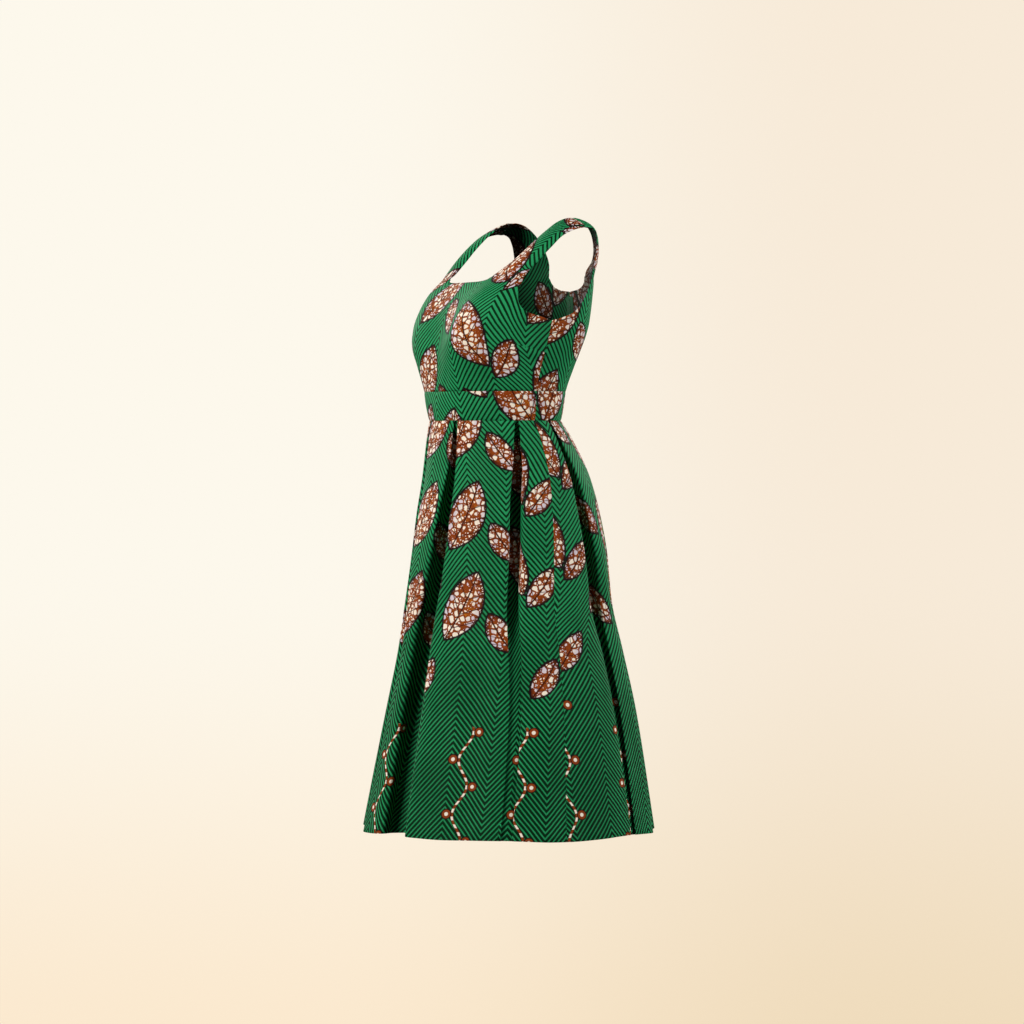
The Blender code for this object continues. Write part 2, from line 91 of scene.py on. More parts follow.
SKIRT = (
    Ring(-0.3215, 0.128, 0.184, -0.016),
    Ring(-0.350, 0.136, 0.1885, -0.0355),
    Ring(-0.417, 0.150, 0.1965, -0.0695),
    Ring(-0.4685, 0.158, 0.2052, -0.0848),
    Ring(-0.535, 0.165, 0.2138, -0.0982),
    Ring(-0.612, 0.175, 0.2244, -0.1056),
    Ring(-0.691, 0.190, 0.2358, -0.1242),
    Ring(-0.788, 0.209, 0.2560, -0.1460),
    Ring(-0.980, 0.240, 0.2959, -0.1761),
)

# ---------------------------------------------------------------- edges of the bodice
Edge = namedtuple("Edge", "height angle")
BODICE_SIDE = (Edge(WAIST, 94.0), Edge(BAND_TOP, 94.0), Edge(UNDERARM, 92.5))
ARMHOLE_FRONT = (
    Edge(UNDERARM, 92.5), Edge(-0.1615, 90.0), Edge(-0.1580, 86.0),
    Edge(-0.1520, 77.5), Edge(-0.1440, 71.8), Edge(-0.1300, 68.0), Edge(-0.1150, 66.8),
    Edge(-0.0960, 67.2),
)
ARMHOLE_BACK = (
    Edge(UNDERARM, 92.5), Edge(-0.1615, 95.0), Edge(-0.1580, 99.5),
    Edge(-0.1520, 105.5), Edge(-0.1440, 109.5), Edge(-0.1300, 112.5), Edge(-0.1150, 114.0),
    Edge(-0.0960, 115.0),
)
NeckPoint = namedtuple("NeckPoint", "share height")
NECK_FRONT = (
    NeckPoint(0.00, -0.0995), NeckPoint(0.34, -0.0992), NeckPoint(0.46, -0.0985),
    NeckPoint(0.56, -0.0965), NeckPoint(0.64, -0.0915), NeckPoint(1.00, -0.0960),
)
NECK_BACK = (
    NeckPoint(0.00, -0.1120), NeckPoint(0.26, -0.1092), NeckPoint(0.40, -0.1048),
    NeckPoint(0.50, -0.0978), NeckPoint(0.58, -0.0880), NeckPoint(1.00, -0.0960),
)
STRAP_SHARE_FRONT = 0.64
STRAP_SHARE_BACK = 0.58
StrapRow = namedtuple("StrapRow", "neck_side neck_ahead neck_height arm_side arm_ahead arm_height crown")
STRAP_FRONT = (
    StrapRow(0.0930, 0.0935, -0.0650, 0.1490, 0.0770, -0.0660, 0.010),
    StrapRow(0.1000, 0.0712, -0.0430, 0.1540, 0.0600, -0.0470, 0.008),
    StrapRow(0.1035, 0.0455, -0.0195, 0.1565, 0.0390, -0.0270, 0.005),
    StrapRow(0.1060, 0.0230, -0.0030, 0.1580, 0.0150, -0.0165, 0.003),
    StrapRow(0.1062, 0.0060, 0.0026, 0.1580, 0.0025, -0.0142, 0.002),
    StrapRow(0.1060, 0.0000, 0.0030, 0.1580, -0.0030, -0.0140, 0.002),
)
STRAP_BACK = (
    StrapRow(0.0780, -0.0525, -0.0640, 0.1450, -0.0228, -0.0700, 0.006),
    StrapRow(0.0904, -0.0478, -0.0370, 0.1510, -0.0238, -0.0480, 0.005),
    StrapRow(0.0988, -0.0365, -0.0160, 0.1548, -0.0222, -0.0310, 0.004),
    StrapRow(0.1037, -0.0190, -0.0010, 0.1573, -0.0175, -0.0190, 0.003),
    StrapRow(0.1056, -0.0060, 0.0026, 0.1580, -0.0085, -0.0143, 0.002),
    StrapRow(0.1060, 0.0000, 0.0030, 0.1580, -0.0030, -0.0140, 0.002),
)
SIDE_SEAM = (Edge(WAIST, 94.0), Edge(-0.450, 91.0), Edge(-0.583, 88.7), Edge(-0.800, 87.5), Edge(HEM, 86.5))

# ---------------------------------------------------------------- folds of the skirt
# Each pleat at the waist, just below it, and at the hip, thigh, knee and hem.  edge is the angle of
# its sharp fold, depth how far it goes in, gap the opening beside that fold, roll the width over
# which the cloth across the gap turns in and behind how far that cloth then runs back, crisp the
# width of the turn at the fold, and under how far the bottom runs in behind the fold.  way is +1
# where the sharp fold is on the side of larger angles.  joined is 1 where the pleat has opened out
# and the print runs on across it.
FOLD_HEIGHTS = (WAIST, -0.362, -0.450, -0.580, -0.700, HEM)
Fold = namedtuple("Fold", "name way edge depth gap roll behind crisp under joined")
FRONT_FOLDS = (
    Fold("side_right", -1, (-80.0, -76.5, -71.5, -70.2, -70.5, -68.0),
         (0.0028, 0.0140, 0.0270, 0.0190, 0.0080, 0.0060), (0.0010, 0.0034, 0.0060, 0.0050, 0.0040, 0.0030),
         (0.004, 0.005, 0.018, 0.028, 0.034, 0.040), (0.010, 0.008, 0.002, 0, 0, 0),
         (0.003, 0.003, 0.012, 0.022, 0.026, 0.036), (0.012, 0.010, 0.001, -0.004, -0.006, -0.008),
         (0, 0, 0, 0, 0, 0)),
    Fold("front_right", -1, (-24.5, -23.6, -24.6, -25.2, -26.0, -30.0),
         (0.0030, 0.0160, 0.0330, 0.0440, 0.0480, 0.0460), (0.0020, 0.0060, 0.0160, 0.0240, 0.0320, 0.0380),
         (0.003, 0.004, 0.007, 0.010, 0.014, 0.022), (0.012, 0.012, 0.014, 0.018, 0.018, 0.016),
         (0.003, 0.003, 0.006, 0.009, 0.012, 0.018), (0.013, 0.013, 0.010, 0.004, -0.004, -0.012),
         (0, 0, 0, 0, 0, 0)),
    Fold("front_left", 1, (28.6, 27.4, 24.2, 20.2, 16.6, 19.0),
         (0.0030, 0.0170, 0.0360, 0.0500, 0.0540, 0.0520), (0.0020, 0.0066, 0.0185, 0.0290, 0.0400, 0.0460),
         (0.003, 0.003, 0.006, 0.010, 0.014, 0.022), (0.012, 0.012, 0.016, 0.020, 0.022, 0.018),
         (0.003, 0.003, 0.005, 0.008, 0.010, 0.015), (0.013, 0.013, 0.010, 0.004, -0.003, -0.010),
         (0, 0, 0, 0, 0, 0)),
    Fold("side_left", 1, (80.6, 76.8, 72.4, 70.8, 71.0, 67.6),
         (0.0030, 0.0190, 0.0410, 0.0340, 0.0100, 0.0050), (0.0012, 0.0048, 0.0090, 0.0080, 0.0040, 0.0030),
         (0.003, 0.004, 0.012, 0.020, 0.034, 0.036), (0.010, 0.010, 0.007, 0.003, 0, 0),
         (0.003, 0.003, 0.008, 0.015, 0.025, 0.036), (0.012, 0.012, 0.004, -0.002, -0.006, -0.008),
         (0, 0, 0, 0, 0, 0)),
)
BACK_FOLDS_LEFT = (
    Fold("hip_left", -1, (107.2, 108.4, 110.4, 114.4, 116.0, 117.5),
         (0.0028, 0.0150, 0.0330, 0.0370, 0.0170, 0.0060), (0.0010, 0.0046, 0.0140, 0.0190, 0.0080, 0.0020),
         (0.003, 0.004, 0.008, 0.016, 0.022, 0.026), (0.010, 0.010, 0.014, 0.012, 0, 0),
         (0.003, 0.003, 0.006, 0.011, 0.026, 0.032), (0.012, 0.012, 0.008, 0.003, -0.006, -0.009),
         (0, 0, 0.1, 0.4, 1, 1)),
    Fold("back_left", 1, (150.6, 151.0, 151.6, 153.2, 154.6, 154.6),
         (0.0028, 0.0150, 0.0310, 0.0390, 0.0430, 0.0420), (0.0012, 0.0046, 0.0120, 0.0180, 0.0240, 0.0280),
         (0.003, 0.004, 0.008, 0.011, 0.016, 0.026), (0.010, 0.010, 0.012, 0.014, 0.014, 0.012),
         (0.003, 0.003, 0.006, 0.009, 0.012, 0.017), (0.012, 0.012, 0.008, 0.003, -0.003, -0.009),
         (0, 0, 0, 0, 0, 0)),
)
BACK_FOLDS_RIGHT = (
    Fold("hip_right", -1, (107.6, 109.0, 111.6, 114.4, 115.6, 117.0),
         (0.0028, 0.0140, 0.0310, 0.0350, 0.0180, 0.0070), (0.0010, 0.0042, 0.0130, 0.0170, 0.0080, 0.0020),
         (0.003, 0.004, 0.009, 0.016, 0.022, 0.025), (0.010, 0.010, 0.013, 0.010, 0, 0),
         (0.003, 0.003, 0.007, 0.012, 0.026, 0.030), (0.012, 0.012, 0.008, 0.002, -0.006, -0.008),
         (0, 0, 0.1, 0.4, 1, 1)),
    Fold("back_right", 1, (150.4, 150.5, 150.8, 151.8, 152.8, 155.2),
         (0.0028, 0.0145, 0.0300, 0.0370, 0.0410, 0.0410), (0.0012, 0.0044, 0.0115, 0.0175, 0.0250, 0.0300),
         (0.003, 0.004, 0.009, 0.012, 0.017, 0.028), (0.010, 0.010, 0.012, 0.013, 0.013, 0.011),
         (0.003, 0.003, 0.007, 0.010, 0.013, 0.018), (0.012, 0.012, 0.008, 0.002, -0.004, -0.010),
         (0, 0, 0, 0, 0, 0)),
)
# A line of the cut that runs down each panel: its angle and its place across the flat cloth at
# those heights.
Guide = namedtuple("Guide", "angle across")
PRINT_HALF = 0.066
FRONT_GUIDES = (
    Guide((-88.0, -86.0, -80.0, -80.0, -80.0, -80.0), (-0.4125, -0.4195, -0.4255, -0.4315, -0.4375, -0.4435)),
    Guide((-38.0, -38.6, -40.0, -42.0, -44.0, -46.0), (-0.2640,) * 6),
    Guide((0.0, -0.4, -1.5, -4.4, -6.4, -8.2), (0.0,) * 6),
    Guide((36.6, 37.0, 38.0, 39.5, 39.8, 39.4), (0.2640, 0.2640, 0.2640, 0.2640, 0.2660, 0.2740)),
    Guide((86.0, 84.0, 80.0, 80.0, 80.0, 80.0), (0.4125, 0.4220, 0.4470, 0.4490, 0.4540, 0.4720)),
)
BACK_GUIDES = (
    Guide((94.0, 93.0, 91.0, 89.2, 88.0, 86.5), (-0.0845,) * 6),
    Guide((128.0, 128.6, 130.0, 133.0, 133.7, 132.8), (0.1320,) * 6),
    Guide((180.0,) * 6, (0.3630, 0.3630, 0.3640, 0.3670, 0.3730, 0.3950)),
)

# Soft folds and creases.  Each runs from its top end to its low end, both given by angle and height.
# spread is its half width in degrees, and a positive rise is a ridge.
Crease = namedtuple("Crease", "top_angle top_height low_angle low_height spread rise")
FRONT_CREASES = (
    Crease(52.0, -0.330, 54.0, -0.560, 5.0, 0.0016),
    Crease(36.0, -0.520, 20.0, -0.985, 5.5, 0.0045),
    Crease(50.0, -0.560, 45.0, -0.985, 8.0, -0.0085),
    Crease(81.0, -0.640, 78.0, -0.985, 5.0, 0.0036),
    Crease(8.0, -0.330, 3.0, -0.520, 4.0, -0.0012),
    Crease(-9.0, -0.340, -17.0, -0.985, 6.0, 0.0042),
    Crease(-50.0, -0.480, -52.0, -0.985, 6.0, -0.0036),
    Crease(-61.0, -0.420, -60.0, -0.985, 5.0, 0.0034),
    Crease(-84.0, -0.560, -82.0, -0.985, 5.5, 0.0030),
)
BACK_CREASES_LEFT = (
    Crease(99.0, -0.420, 104.0, -0.985, 6.0, 0.0032),
    Crease(129.0, -0.360, 137.0, -0.985, 5.5, 0.0038),
    Crease(139.0, -0.560, 145.0, -0.985, 3.6, -0.0022),
    Crease(166.0, -0.380, 167.0, -0.985, 5.0, 0.0034),
)
BACK_CREASES_RIGHT = (
    Crease(100.5, -0.460, 103.0, -0.985, 5.0, 0.0036),
    Crease(126.0, -0.380, 133.0, -0.985, 6.0, 0.0034),
    Crease(140.0, -0.500, 143.0, -0.985, 4.0, -0.0026),
    Crease(168.0, -0.420, 165.0, -0.985, 5.5, 0.0030),
)
BODICE_CREASES = (
    Crease(62.0, -0.176, 84.0, -0.186, 1.0, -0.0004),
    Crease(60.0, -0.110, 68.0, -0.168, 3.0, -0.0014),
    Crease(-58.0, -0.112, -67.0, -0.160, 3.2, -0.0012),
    Crease(72.0, -0.224, 88.0, -0.268, 4.0, -0.0010),
    Crease(-70.0, -0.220, -86.0, -0.266, 4.4, -0.0011),
    Crease(22.0, -0.228, 17.0, -0.272, 4.0, -0.0010),
    Crease(-20.0, -0.232, -24.0, -0.272, 3.6, -0.0009),
)
BODICE_BACK_CREASES = (
    Crease(118.0, -0.190, 108.0, -0.262, 4.0, -0.0012),
    Crease(150.0, -0.212, 146.0, -0.268, 4.5, -0.0010),
    Crease(168.0, -0.232, 170.0, -0.262, 3.0, -0.0008),
)


# ---------------------------------------------------------------- reading the tables
def curve(places, values, at):
    """Smooth rising-or-falling curve through a table's rows (places rise), for an array of places."""
    places, values = np.asarray(places, float), np.asarray(values, float)
    at = np.clip(at, places[0], places[-1])
    i = np.clip(np.searchsorted(places, at, side="right") - 1, 0, len(places) - 2)
    span = np.diff(places)
    slope = np.diff(values) / span
    tangent = np.concatenate(([slope[0]], np.zeros(len(slope) - 1), [slope[-1]]))
    product, total = slope[:-1] * slope[1:], slope[:-1] + slope[1:]
    tangent[1:-1] = np.where(product > 0, 2 * product / np.where(total == 0, 1, total), 0)
    t = (at - places[i]) / span[i]
    return ((2 * t**3 - 3 * t**2 + 1) * values[i] + (t**3 - 2 * t**2 + t) * tangent[i] * span[i]
            + (3 * t**2 - 2 * t**3) * values[i + 1] + (t**3 - t**2) * tangent[i + 1] * span[i])


def column(table, name, height):
    """One column of a table, read at an array of heights."""
    rows = sorted(table, key=lambda row: row.height)
    return curve([row.height for row in rows], [getattr(row, name) for row in rows], height)


def at_folds(values, height):
    """One measure of a fold or guide, read at an array of heights."""
    return curve([-h for h in FOLD_HEIGHTS], values, -np.asarray(height, float))


def ramp(start, stop, value):
    """0 before start and 1 after stop, eased at both ends."""
    t = np.clip((value - start) / (stop - start), 0, 1)
    return t * t * (3 - 2 * t)


def ring(table, angle, height, inward=0.0):
    """Points of the cloth's outer face for arrays of angles and heights."""
    angle, height = np.broadcast_arrays(np.asarray(angle, float), np.asarray(height, float))
    turn = np.radians(angle)
    front, back = column(table, "front", height), column(table, "back", height)
    power = np.where(np.cos(turn) > 0, column(table, "square", height), column(table, "square_back", height))
    reach = ((np.abs(np.sin(turn)) / column(table, "half_width", height))**power
             + (np.abs(np.cos(turn)) / ((front - back) / 2))**power)**(-1 / power)
    offset = (np.abs(angle) - column(table, "bust_angle", height)) / column(table, "bust_spread", height)
    reach = reach + column(table, "bust", height) * np.exp(-offset**2) - inward
    centre = (front + back) / 2
    return np.stack((reach * np.sin(turn), -centre - reach * np.cos(turn), height), axis=-1)


def ring_reach(table, angle, height):
    """Distance of the cloth from the ring's centre."""
    points = ring(table, angle, height)
    centre = (column(table, "front", height) + column(table, "back", height)) / 2
    return np.hypot(points[..., 0], points[..., 1] + centre)


def crease_rise(creases, angle, height):
    """Height of the soft folds at each place, tapered at both ends, or at the top if they reach the hem."""
    rise = np.zeros(np.broadcast(angle, height).shape)
    for crease in creases:
        along = (crease.top_height - height) / (crease.top_height - crease.low_height)
        middle = crease.top_angle + (crease.low_angle - crease.top_angle) * np.clip(along, 0, 1)
        taper = ramp(0.0, CREASE_FULL, along)
        if crease.low_height > HEM:
            taper = taper * (1 - ramp(CREASE_FADES, 1.0, along))
        rise += crease.rise * taper * np.exp(-((angle - middle) / crease.spread)**2)
    return rise


def edge_dip(distance, reach=EDGE_REACH, depth=EDGE_DEPTH):
    """How far cloth turns in beside a sewn edge."""
    return depth * np.exp(-(distance / reach)**2)


# ---------------------------------------------------------------- meshes of cloth
class Panel:
    """Gathers grids of points with their places in the flat cut, then makes one mesh."""

    def __init__(self):
        self.points, self.places, self.faces, self.count = [], [], [], 0

    def add(self, points, places, flip=False):
        rows, cols = points.shape[:2]
        index = np.arange(rows * cols).reshape(rows, cols) + self.count
        corners = [index[:-1, :-1], index[:-1, 1:], index[1:, 1:], index[1:, :-1]]
        if flip:
            corners.reverse()
        self.faces.append(np.stack([corner.ravel() for corner in corners], axis=-1))
        self.points.append(points.reshape(-1, 3))
        self.places.append(places.reshape(-1, 2))
        self.count += rows * cols

    def build(self, name, wall=CLOTH_WALL, inner_slot=1):
        points, places = np.concatenate(self.points), np.concatenate(self.places)
        faces = np.concatenate(self.faces)
        mesh = bpy.data.meshes.new(name)
        mesh.from_pydata(points.tolist(), [], faces.tolist())
        layer = mesh.uv_layers.new(name="print")
        layer.data.foreach_set("uv", places[faces.ravel()].astype(np.float32).ravel())
        work = bmesh.new()
        work.from_mesh(mesh)
        bmesh.ops.remove_doubles(work, verts=work.verts, dist=SAME_PLACE)
        work.to_mesh(mesh)
        work.free()
        mesh.shade_smooth()
        made = bpy.data.objects.new(name, mesh)
        bpy.context.scene.collection.objects.link(made)
        if wall:
            solid = made.modifiers.new("cloth_wall", "SOLIDIFY")
            solid.thickness = wall
            solid.offset = -1.0
            solid.material_offset = inner_slot
        return made


def lengths(points, axis):
    """Distance travelled along one direction of a grid of points."""
    steps = np.linalg.norm(np.diff(points, axis=axis), axis=-1)
    first = np.zeros_like(np.take(steps, [0], axis=axis))
    return np.concatenate((first, np.cumsum(steps, axis=axis)), axis=axis)


def outward(points):
    """Unit normals of a grid of points, pointing away from the figure's axis."""
    down, across = np.gradient(points, axis=0), np.gradient(points, axis=1)
    normal = np.cross(across, down)
    normal /= np.maximum(np.linalg.norm(normal, axis=-1, keepdims=True), 1e-12)
    return normal


def smooth_columns(points, count):
    """Finer points on a smooth curve through each column's points (first axis), evenly spaced."""
    travel = lengths(points, 0)
    share = np.linspace(0, 1, count)
    fine = np.empty((count,) + points.shape[1:])
    for c in range(points.shape[1]):
        at = share * travel[-1, c]
        knots = travel[:, c]
        i = np.clip(np.searchsorted(knots, at, side="right") - 1, 0, len(knots) - 2)
        slopes = np.gradient(points[:, c], knots, axis=0)
        span = (knots[i + 1] - knots[i])[:, None]
        t = ((at - knots[i]) / span[:, 0])[:, None]
        fine[:, c] = ((2 * t**3 - 3 * t**2 + 1) * points[i, c] + (t**3 - 2 * t**2 + t) * slopes[i] * span
                      + (3 * t**2 - 2 * t**3) * points[i + 1, c] + (t**3 - t**2) * slopes[i + 1] * span)
    return fine


# ---------------------------------------------------------------- measures over the torso
GRID_END = 182
GRID_ROWS = 90
GIRTH_ANGLES = np.linspace(-GRID_END, GRID_END, 2 * GRID_END + 1)
GIRTH_HEIGHTS = np.linspace(WAIST, TORSO[0].height, GRID_ROWS)
TORSO_GRID = ring(TORSO, GIRTH_ANGLES[None, :], GIRTH_HEIGHTS[:, None])
GIRTHS = lengths(TORSO_GRID, 1)
GIRTHS -= GIRTHS[:, [GRID_END]]
RISES = lengths(TORSO_GRID, 0)


def on_torso(values, angle, height):
    """Reads a measure of the torso grid between its points."""
    a = np.clip((angle - GIRTH_ANGLES[0]) / (GIRTH_ANGLES[1] - GIRTH_ANGLES[0]), 0, len(GIRTH_ANGLES) - 1.001)
    h = np.clip((height - WAIST) / (GIRTH_HEIGHTS[1] - GIRTH_HEIGHTS[0]), 0, len(GIRTH_HEIGHTS) - 1.001)
    i, j = a.astype(int), h.astype(int)
    s, t = a - i, h - j
    return ((values[j, i] * (1 - s) + values[j, i + 1] * s) * (1 - t)
            + (values[j + 1, i] * (1 - s) + values[j + 1, i + 1] * s) * t)


# ---------------------------------------------------------------- bodice
DART_TIP_ANGLE, DART_TIP_HEIGHT = 64.0, -0.1965
DART_SEAM_ANGLE, DART_SEAM_HEIGHT = 92.5, -0.2130
DART_INTAKE = 0.012
DART_DIP, DART_DIP_REACH = 0.0010, 0.0024
DART_SWELL, DART_SWELL_BELOW, DART_SWELL_REACH = 0.0008, 0.007, 0.006
BUST_LINE_ANGLE = 36.0
BESIDE_BUST_ANGLE = 48.0
BODICE_ROWS = 92
CLOSE_ROWS_FROM, CLOSE_ROWS_TO, CLOSER = 0.60, 0.80, 1.6
ROWS_BENT_TO_DART = 9.0
FRONT_NECK_COLUMNS, BACK_NECK_COLUMNS = 40, 36
STRAP_COLUMNS, STRAP_ROWS = 25, 60
# How many rows down the body a strap's curve starts, so that it runs on without a kink.
STRAP_LEAD = 7
STRAP_SETTLES, STRAP_PRINT_SETTLES = 0.012, 0.030


def dart_height(angle):
    share = (np.abs(angle) - DART_TIP_ANGLE) / (DART_SEAM_ANGLE - DART_TIP_ANGLE)
    return DART_TIP_HEIGHT + (DART_SEAM_HEIGHT - DART_TIP_HEIGHT) * np.clip(share, -0.2, 1.2)


def front_places(angle, height, above_dart):
    """Places in the flat cut of the front bodice, with the cloth that the side darts take up."""
    angle, height = np.broadcast_arrays(angle, height)
    bust_line = np.full_like(angle, BUST_LINE_ANGLE)
    low = np.full_like(angle, BAND_TOP)
    over_bust = on_torso(RISES, bust_line, height)
    own = on_torso(RISES, np.abs(angle), height)
    spare = DART_INTAKE * np.clip((np.abs(angle) - DART_TIP_ANGLE) / (DART_SEAM_ANGLE - DART_TIP_ANGLE), 0, 1)
    start = on_torso(RISES, bust_line, low) - on_torso(RISES, np.abs(angle), low)
    beside = ramp(BESIDE_BUST_ANGLE, DART_TIP_ANGLE + 4, np.abs(angle))
    up = over_bust * (1 - beside) + (own + start + (spare if above_dart else 0)) * beside
    return np.stack((on_torso(GIRTHS, angle, height), up), axis=-1)


def back_places(angle, height):
    return np.stack((on_torso(GIRTHS, angle, height), on_torso(RISES, np.abs(angle), height)), axis=-1)


def row_shares():
    """Rising shares from 0 to 1 for the bodice's rows, closer together at the foot of the armhole."""
    shares = np.linspace(0, 1, BODICE_ROWS)
    near = (ramp(CLOSE_ROWS_FROM - 0.05, CLOSE_ROWS_FROM, shares)
            * (1 - ramp(CLOSE_ROWS_TO, CLOSE_ROWS_TO + 0.05, shares)))
    density = 1 + CLOSER * near
    rising = np.concatenate(([0], np.cumsum((density[1:] + density[:-1]) / 2)))
    return np.interp(shares, rising / rising[-1], shares)[:, None]


def bodice_levels(neck, share, rise):
    """Heights of the body's grid: from the band seam up to the neck edge and the foot of the strap."""
    lowest = BAND_TOP + SEAM_GAP / 2
    top = curve([row.share for row in neck], [row.height for row in neck], share)
    return lowest + (top - lowest) * rise


def bodice_angles(armhole, centre, share, level, side_gap):
    edge = np.where(level > UNDERARM, column(armhole, "angle", level), column(BODICE_SIDE, "angle", level))
    return centre + (edge + side_gap - centre) * share


def strap_knots(rows, across):
    """Points across each row of a strap of the wearer's left side, as a grid."""
    neck = np.array([(row.neck_side, -row.neck_ahead, row.neck_height) for row in rows])
    arm = np.array([(row.arm_side, -row.arm_ahead, row.arm_height) for row in rows])
    crown = np.array([row.crown for row in rows])
    middle = neck + arm
    index = np.arange(len(rows))
    along = middle[np.minimum(index + 1, len(rows) - 1)] - middle[np.maximum(index - 1, 0)]
    out = np.cross(along, arm - neck)
    out /= np.linalg.norm(out, axis=-1, keepdims=True)
    if rows is STRAP_FRONT:
        out = -out
    return (neck[:, None] + (arm - neck)[:, None] * across[None, :, None]
            + out[:, None] * (crown[:, None] * 4 * across * (1 - across))[..., None])


def strap_grid(rows, body, across, shoulder_gap):
    """A strap that grows out of the body's top rows."""
    knots = strap_knots(rows, across)
    knots[-1, :, 1] += shoulder_gap
    every = np.concatenate((body[[-STRAP_LEAD, -1]], knots))
    fine = smooth_columns(every, 4 * STRAP_ROWS)
    start = np.linalg.norm(fine - body[-1], axis=-1).argmin(axis=0)
    grid = np.empty((STRAP_ROWS, len(across), 3))
    for c in range(len(across)):
        line = fine[start[c]:, c].copy()
        line[0] = body[-1, c]
        travel = np.concatenate(([0], np.cumsum(np.linalg.norm(np.diff(line, axis=0), axis=-1))))
        at = np.linspace(0, travel[-1], STRAP_ROWS)
        grid[:, c] = np.stack([np.interp(at, travel, line[:, k]) for k in range(3)], axis=-1)
    return grid


def strap_places(grid, base):
    """Flat places of a strap: on from those of the body along its middle."""
    middle = grid.shape[1] // 2
    travel = lengths(grid, 0)[:, middle]
    across = lengths(grid, 1)
    across = across - across[:, [middle]]
    places = np.empty(grid.shape[:2] + (2,))
    places[..., 0] = base[middle, 0] + across
    places[..., 1] = base[middle, 1] + travel[:, None]
    settle = ramp(0.0, STRAP_PRINT_SETTLES, travel)[:, None, None]
    start = base[None] + np.stack((np.zeros_like(travel), travel), axis=-1)[:, None]
    return start * (1 - settle) + places * settle


def rolled(points, distance):
    """Turns the cloth in a little beside a free edge, as a turned and pressed edge does."""
    return points - outward(points) * edge_dip(distance, ROLL_REACH, ROLL_DEPTH)[..., None]


def finish_strap(grid):
    """Rolls the two edges of a strap and turns in its shoulder seam."""
    widths = lengths(grid, 1)
    edges = np.minimum(widths, widths[:, [-1]] - widths)
    travel = lengths(grid, 0)
    to_seam = travel[[-1]] - travel
    dip = edge_dip(edges, ROLL_REACH, ROLL_DEPTH) * ramp(0.0, STRAP_SETTLES, travel)
    dip = dip + edge_dip(to_seam, SHOULDER_REACH, SHOULDER_DEPTH)
    return grid - outward(grid) * dip[..., None]


def bend_rows_to_dart(level, angle):
    """Moves the rows of the front near a side dart so that one of them runs along it."""
    dart_row = int(np.abs(level[:, -1] - (DART_TIP_HEIGHT + DART_SEAM_HEIGHT) / 2).argmin())
    beside = ramp(DART_TIP_ANGLE - 16, DART_TIP_ANGLE, angle[dart_row])
    shift = (dart_height(angle[dart_row]) - level[dart_row]) * beside
    index = np.arange(level.shape[0])[:, None]
    return level + shift[None] * np.exp(-((index - dart_row) / ROWS_BENT_TO_DART)**2), dart_row


def build_front_bodice():
    shares = np.concatenate((np.linspace(0, STRAP_SHARE_FRONT, FRONT_NECK_COLUMNS),
                             np.linspace(STRAP_SHARE_FRONT, 1, STRAP_COLUMNS)[1:]))
    share = np.concatenate((-shares[:0:-1], shares))[None, :]
    rise = row_shares()
    level = bodice_levels(NECK_FRONT, np.abs(share), rise)
    angle = bodice_angles(ARMHOLE_FRONT, 0.0, np.abs(share), level, -HALF_SEAM)
    level, dart_row = bend_rows_to_dart(level, angle)
    angle = bodice_angles(ARMHOLE_FRONT, 0.0, np.abs(share), level, -HALF_SEAM) * np.sign(share)
    points = ring(TORSO, angle, level)
    reach = ring_reach(TORSO, angle, level)
    side = (column(BODICE_SIDE, "angle", level) - HALF_SEAM - np.abs(angle)) * np.radians(1) * reach
    dips = edge_dip(level - BAND_TOP) + edge_dip(np.where(level < UNDERARM + 0.002, side, FAR_OFF))
    to_dart = level - dart_height(angle)
    past_tip = ramp(DART_TIP_ANGLE, DART_TIP_ANGLE + 12, np.abs(angle))
    dips += DART_DIP * np.exp(-(to_dart / DART_DIP_REACH)**2) * past_tip
    to_side = ramp(DART_TIP_ANGLE - 4, 90, np.abs(angle))
    dips -= DART_SWELL * np.exp(-((to_dart + DART_SWELL_BELOW) / DART_SWELL_REACH)**2) * to_side
    puff = crease_rise(BODICE_CREASES, angle, level)
    points = points + outward(points) * (puff - dips)[..., None]

    armhole = column(ARMHOLE_FRONT, "angle", level) - HALF_SEAM
    from_arm = np.where(level > UNDERARM, (armhole - np.abs(angle)) * np.radians(1) * reach, FAR_OFF)
    top = bodice_levels(NECK_FRONT, np.abs(share), np.ones_like(rise))
    from_neck = np.where(np.abs(share) < STRAP_SHARE_FRONT, top - level, FAR_OFF)
    points = rolled(points, np.minimum(from_arm, from_neck))

    panel = Panel()
    panel.add(points[:dart_row + 1], front_places(angle, level, False)[:dart_row + 1])
    upper = front_places(angle, level, True)
    panel.add(points[dart_row:], upper[dart_row:])
    n = STRAP_COLUMNS
    across = np.linspace(0, 1, n)
    left = strap_grid(STRAP_FRONT, points[:, -n:], across, -SEAM_GAP / 2)
    panel.add(finish_strap(left), strap_places(left, upper[-1, -n:]))
    mirror = points[:, :n][:, ::-1] * (-1, 1, 1)
    right = strap_grid(STRAP_FRONT, mirror, across, -SEAM_GAP / 2) * (-1, 1, 1)
    right = right[:, ::-1]
    panel.add(finish_strap(right), strap_places(right, upper[-1, :n]))
    return panel.build("front_bodice_cloth")


